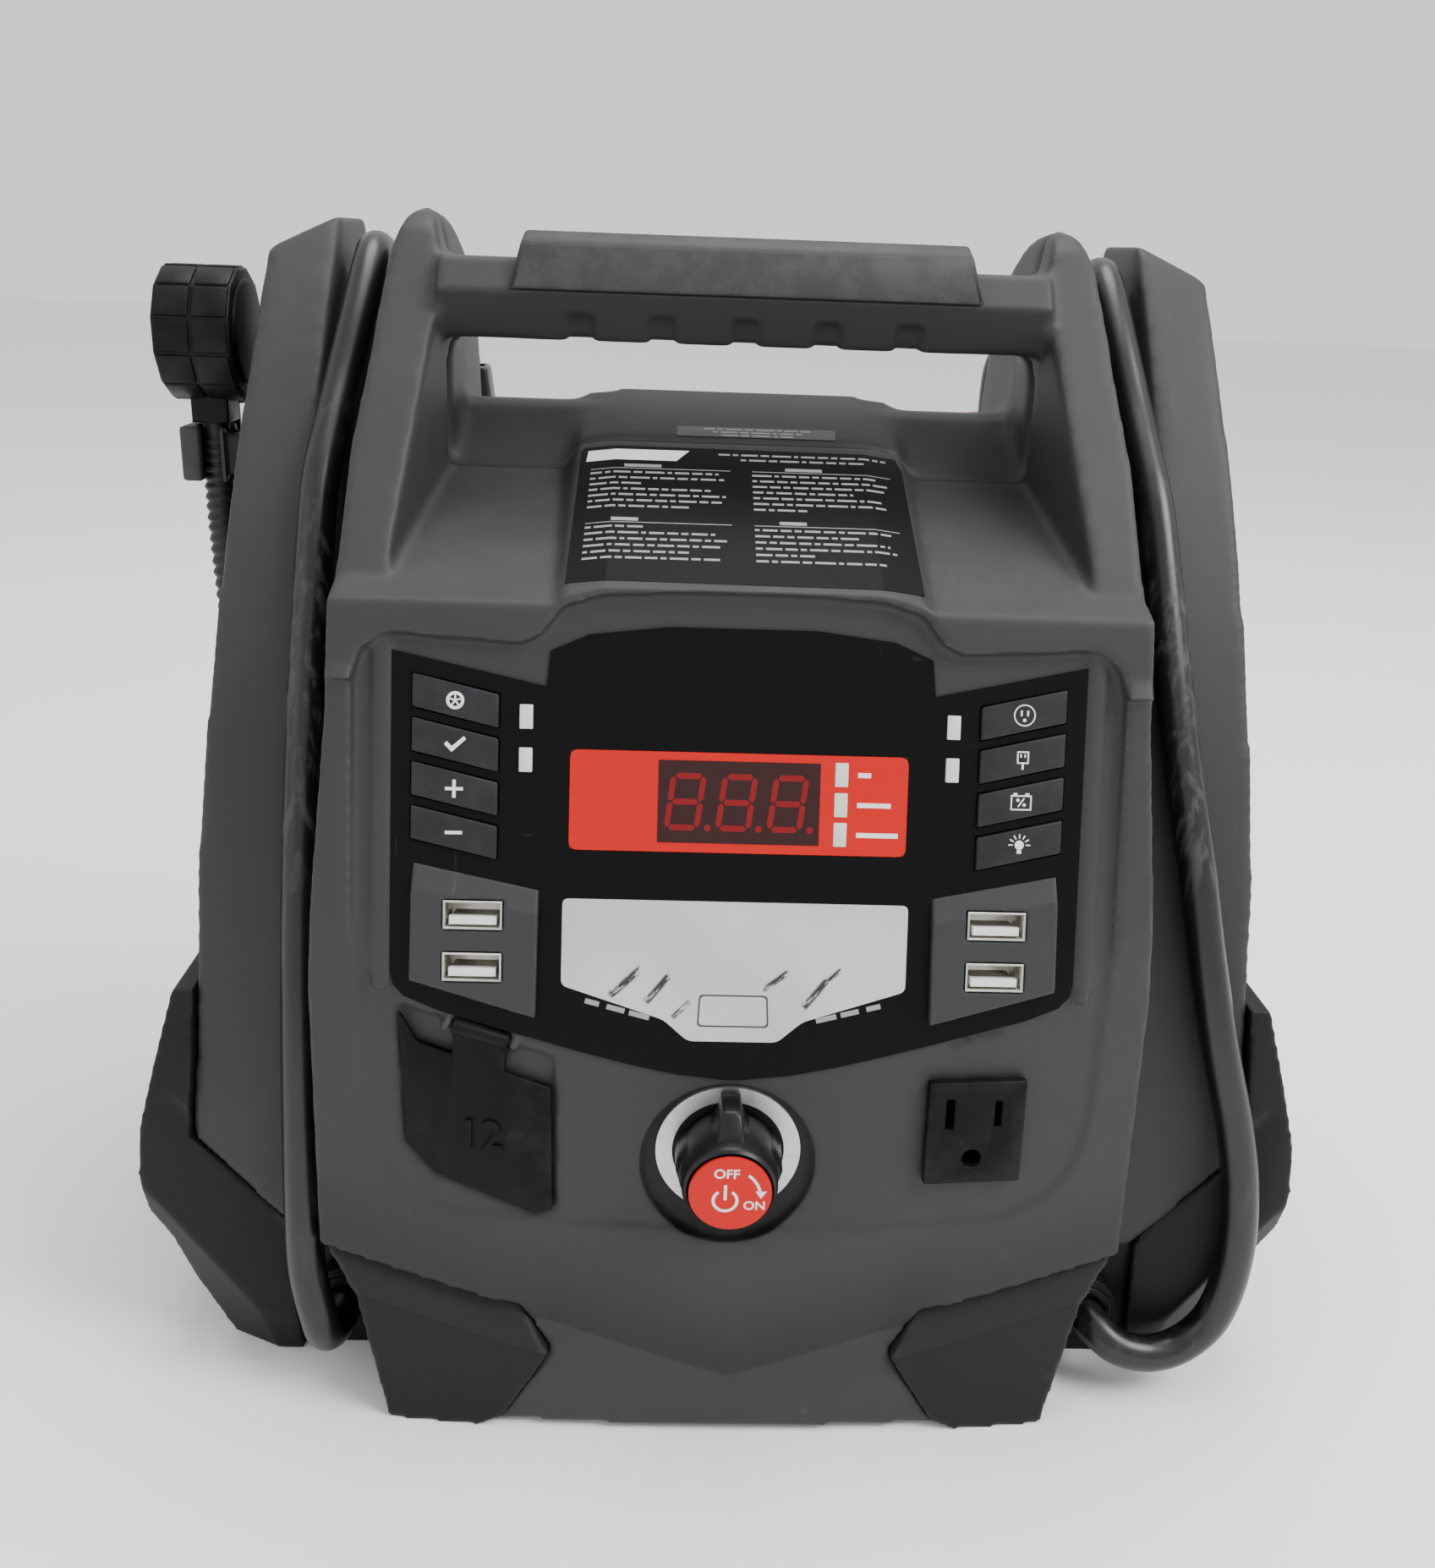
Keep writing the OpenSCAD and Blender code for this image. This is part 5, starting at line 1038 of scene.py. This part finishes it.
for side, way, finish, slot_name in (("left", 1, clamp_black, "clamp_black"),
                                     ("right", -1, clamp_red, "clamp_red")):
    spot = frame_of((-way * CLAMP_X, CLAMP_FACE, CLAMP_PIVOTS[side]), UP, -FRONT)
    for half, turn in (("fixed", 1), ("moving", -1)):
        node = f"clamp_{side}_{half}"
        body = BODY_OF[node]
        sign(f"{node}_ribs", ribs(GRIP_EDGES[half], way), spot, 0.7, finish, body)
        jaw = drawing([(way * turn * x, z) for x, z in JAW])
        sign(f"{node}_jaw", jaw, spot, 0.5, steel, body)


LAMP_X, LAMP_Z, LAMP_R = -40, 50, 21
DIODE_R, DIODE_RING = 1.7, 8
BEZEL = drawing(rings=[(0, 0, LAMP_R + 2.6, LAMP_R + 0.25, 0, 360, 48)])
DIODES = drawing(rings=[(0, 0, LAMP_R - 1.6, LAMP_R - 2.1, 0, 360, 48)], discs=[(0, 0, DIODE_R)]
                 + [(*polar(DIODE_RING, turn), DIODE_R) for turn in range(0, 360, 60)])
sign("work_light_bezel", BEZEL, on_rear(LAMP_X, LAMP_Z, 0.02), 1.0, black_plastic)
sign("work_light_diodes", DIODES, on_rear(LAMP_X, LAMP_Z, 1.01), 0.06, print_grey)


# ---------- cables ----------
def eased(points, steps):
    """Points on the smooth curve through a route."""
    out = []
    for i in range(len(points) - 1):
        a, b = points[max(i - 1, 0)], points[i]
        c, d = points[i + 1], points[min(i + 2, len(points) - 1)]
        for k in range(steps):
            f = k / steps
            out.append(0.5 * (2 * b + (c - a) * f + (2 * a - 5 * b + 4 * c - d) * f * f
                              + (3 * b - a - 3 * c + d) * f ** 3))
    return out + [points[-1]]


def tube_curve(name, points, radii, finish, sides=8):
    """One open spline with its own radius at each point."""
    curve = adjust(bpy.data.curves.new(name, "CURVE"), dimensions="3D", bevel_depth=1.0,
                   bevel_resolution=sides, use_fill_caps=True)
    spline = curve.splines.new("POLY")
    spline.points.add(len(points) - 1)
    for knot, point, radius in zip(spline.points, points, radii):
        adjust(knot, co=(*point, 1), radius=radius)
    spline.use_smooth = True
    return add_object(name, curve, finish, "case")


# over the shoulder into the clamp, on the right side; then each cable up from its boot
CABLE_BACK = [(110.6, -9.4, 251), (109.2, 1.8, 263), (107, 15, 279), (105.7, 28, 292.3),
              (105.7, 37, 296.4), (105.5, 47, 295.4), (104, 58, 291), (100, 68, 284.5), (94, 75, 278),
              (88.3, 76.956, 270.5), (86.3, 77.456, 262)]
CABLE_RIGHT = [(104, -60, 20), (104, -74, 20), (106, -81.5, 18.5), (112, -86, 15), (121, -86.5, 13.2),
               (130, -85.5, 15.5), (137.5, -84.5, 23), (141, -84, 35), (142, -83, 50), (141, -80.5, 66),
               (138, -77.5, 82), (132, -73.5, 104), (127, -68, 127), (123, -61.5, 150), (119, -53, 173),
               (116, -43.6, 195), (114, -32.6, 217), (112.2, -20.6, 238), *CABLE_BACK,
               (86.3, 77.456, 240)]
CABLE_LEFT = [(104, -60, 20), (104, -73, 19.6), (105.5, -81, 16.6), (107.3, -87.5, 18),
              (108.6, -90, 27), (111.3, -87.5, 41), (112.2, -83.2, 62), (112.4, -78.5, 84),
              (112.4, -73.8, 106), (112.4, -68, 128), (112.3, -61.4, 150), (112.2, -53, 173),
              (112.1, -43.6, 195), (112, -32.6, 217), (111.8, -20.6, 238), *CABLE_BACK,
              (86.3, 77.456, 250)]
CABLE_R = 5.0


def jumper_cable(word, side, route):
    """A cable from its boot over the shoulder into its clamp."""
    points = eased([Vector((side * x, y, z)) * MM for x, y, z in route], 6)
    made = tube_curve(f"jumper_lead_{word}", points, [CABLE_R * MM] * len(points), cable_sheath)
    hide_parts(f"jumper_cable_{word}")


jumper_cable("right", 1, CABLE_RIGHT)
jumper_cable("left", -1, CABLE_LEFT)

HOSE = [(-156, 40, 252), (-156, 40, 236), (-156, 40.3, 215), (-155.5, 41.5, 190), (-155, 44, 165),
        (-154.5, 47.5, 140), (-153.5, 51.5, 118), (-150, 54.5, 101), (-143, 56, 93), (-132, 56, 93)]
HOSE_RIBS = 64
# the radii over one rib, and how many points stay plain at the two ends
RIB_RADII, PLAIN_START, PLAIN_END = (4.0, 4.55, 5.0, 4.55), 22, 20


def make_hose():
    """Ribbed air hose, plain at both ends."""
    line = eased([Vector(p) * MM for p in HOSE], HOSE_RIBS)
    steps = len(RIB_RADII) * HOSE_RIBS
    points = [line[round(k * (len(line) - 1) / steps)] for k in range(steps + 1)]
    radii = [RIB_RADII[0 if k < PLAIN_START or k > steps - PLAIN_END else k % len(RIB_RADII)] * MM
             for k in range(steps + 1)]
    made = tube_curve("ribbed_hose", points, radii, hose_rubber, 4)
    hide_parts("air_hose")


make_hose()


# ---------- stage ----------
AIM = Vector((0, 0, 0.15))


def make_stage():
    shape = bmesh.new()
    bmesh.ops.create_grid(shape, x_segments=1, y_segments=1, size=6.0)
    floor = new_object("floor", to_mesh(shape, "floor"))
    made, tree, shader = new_material("pale_floor")
    tree.feed(shader, Base_Color=(0.9, 0.9, 0.9, 1), Roughness=0.9)
    floor.data.materials.append(made)


def make_light(name, place, size, power):
    """A round lamp, in metres and watts, that shines on the middle of the case."""
    lamp = bpy.data.lights.new(name, "AREA")
    holder = new_object(name, adjust(lamp, shape="DISK", size=size, energy=power))
    holder.location = place
    holder.rotation_euler = (AIM - Vector(place)).to_track_quat("-Z", "Y").to_euler()


def make_world(strength):
    world = bpy.data.worlds.new("studio")
    world.use_nodes = True
    background = world.node_tree.nodes["Background"]
    Tree(world.node_tree).feed(background, Color=(1, 1, 1, 1), Strength=strength)
    bpy.context.scene.world = world


make_stage()
make_light("key_light", (1.1, -0.6, 1.4), 0.9, 30)
make_light("fill_light", (-1.4, -1.0, 0.9), 1.2, 3)
make_light("top_light", (0.1, 0.3, 1.7), 1.0, 18)
make_world(1.1)


# ---------- camera ----------
CAMERA_PLACE = (-18, -419, 301)
PITCH, YAW, ROLL = (math.radians(angle) for angle in (20, 2.1, 2.15))
SENSOR, FOCAL_SHARE = 36, 1750 / 1697


def make_camera():
    lens = adjust(bpy.data.cameras.new("view"), sensor_fit="HORIZONTAL", sensor_width=SENSOR,
                  lens=SENSOR * FOCAL_SHARE, clip_start=0.01)
    holder = new_object("view", lens)
    tilt = Matrix.Rotation(math.pi / 2 - PITCH, 4, "X") @ Matrix.Rotation(ROLL, 4, "Z")
    holder.matrix_world = shift(*CAMERA_PLACE) @ Matrix.Rotation(-YAW, 4, "Z") @ tilt
    bpy.context.scene.camera = holder


make_camera()
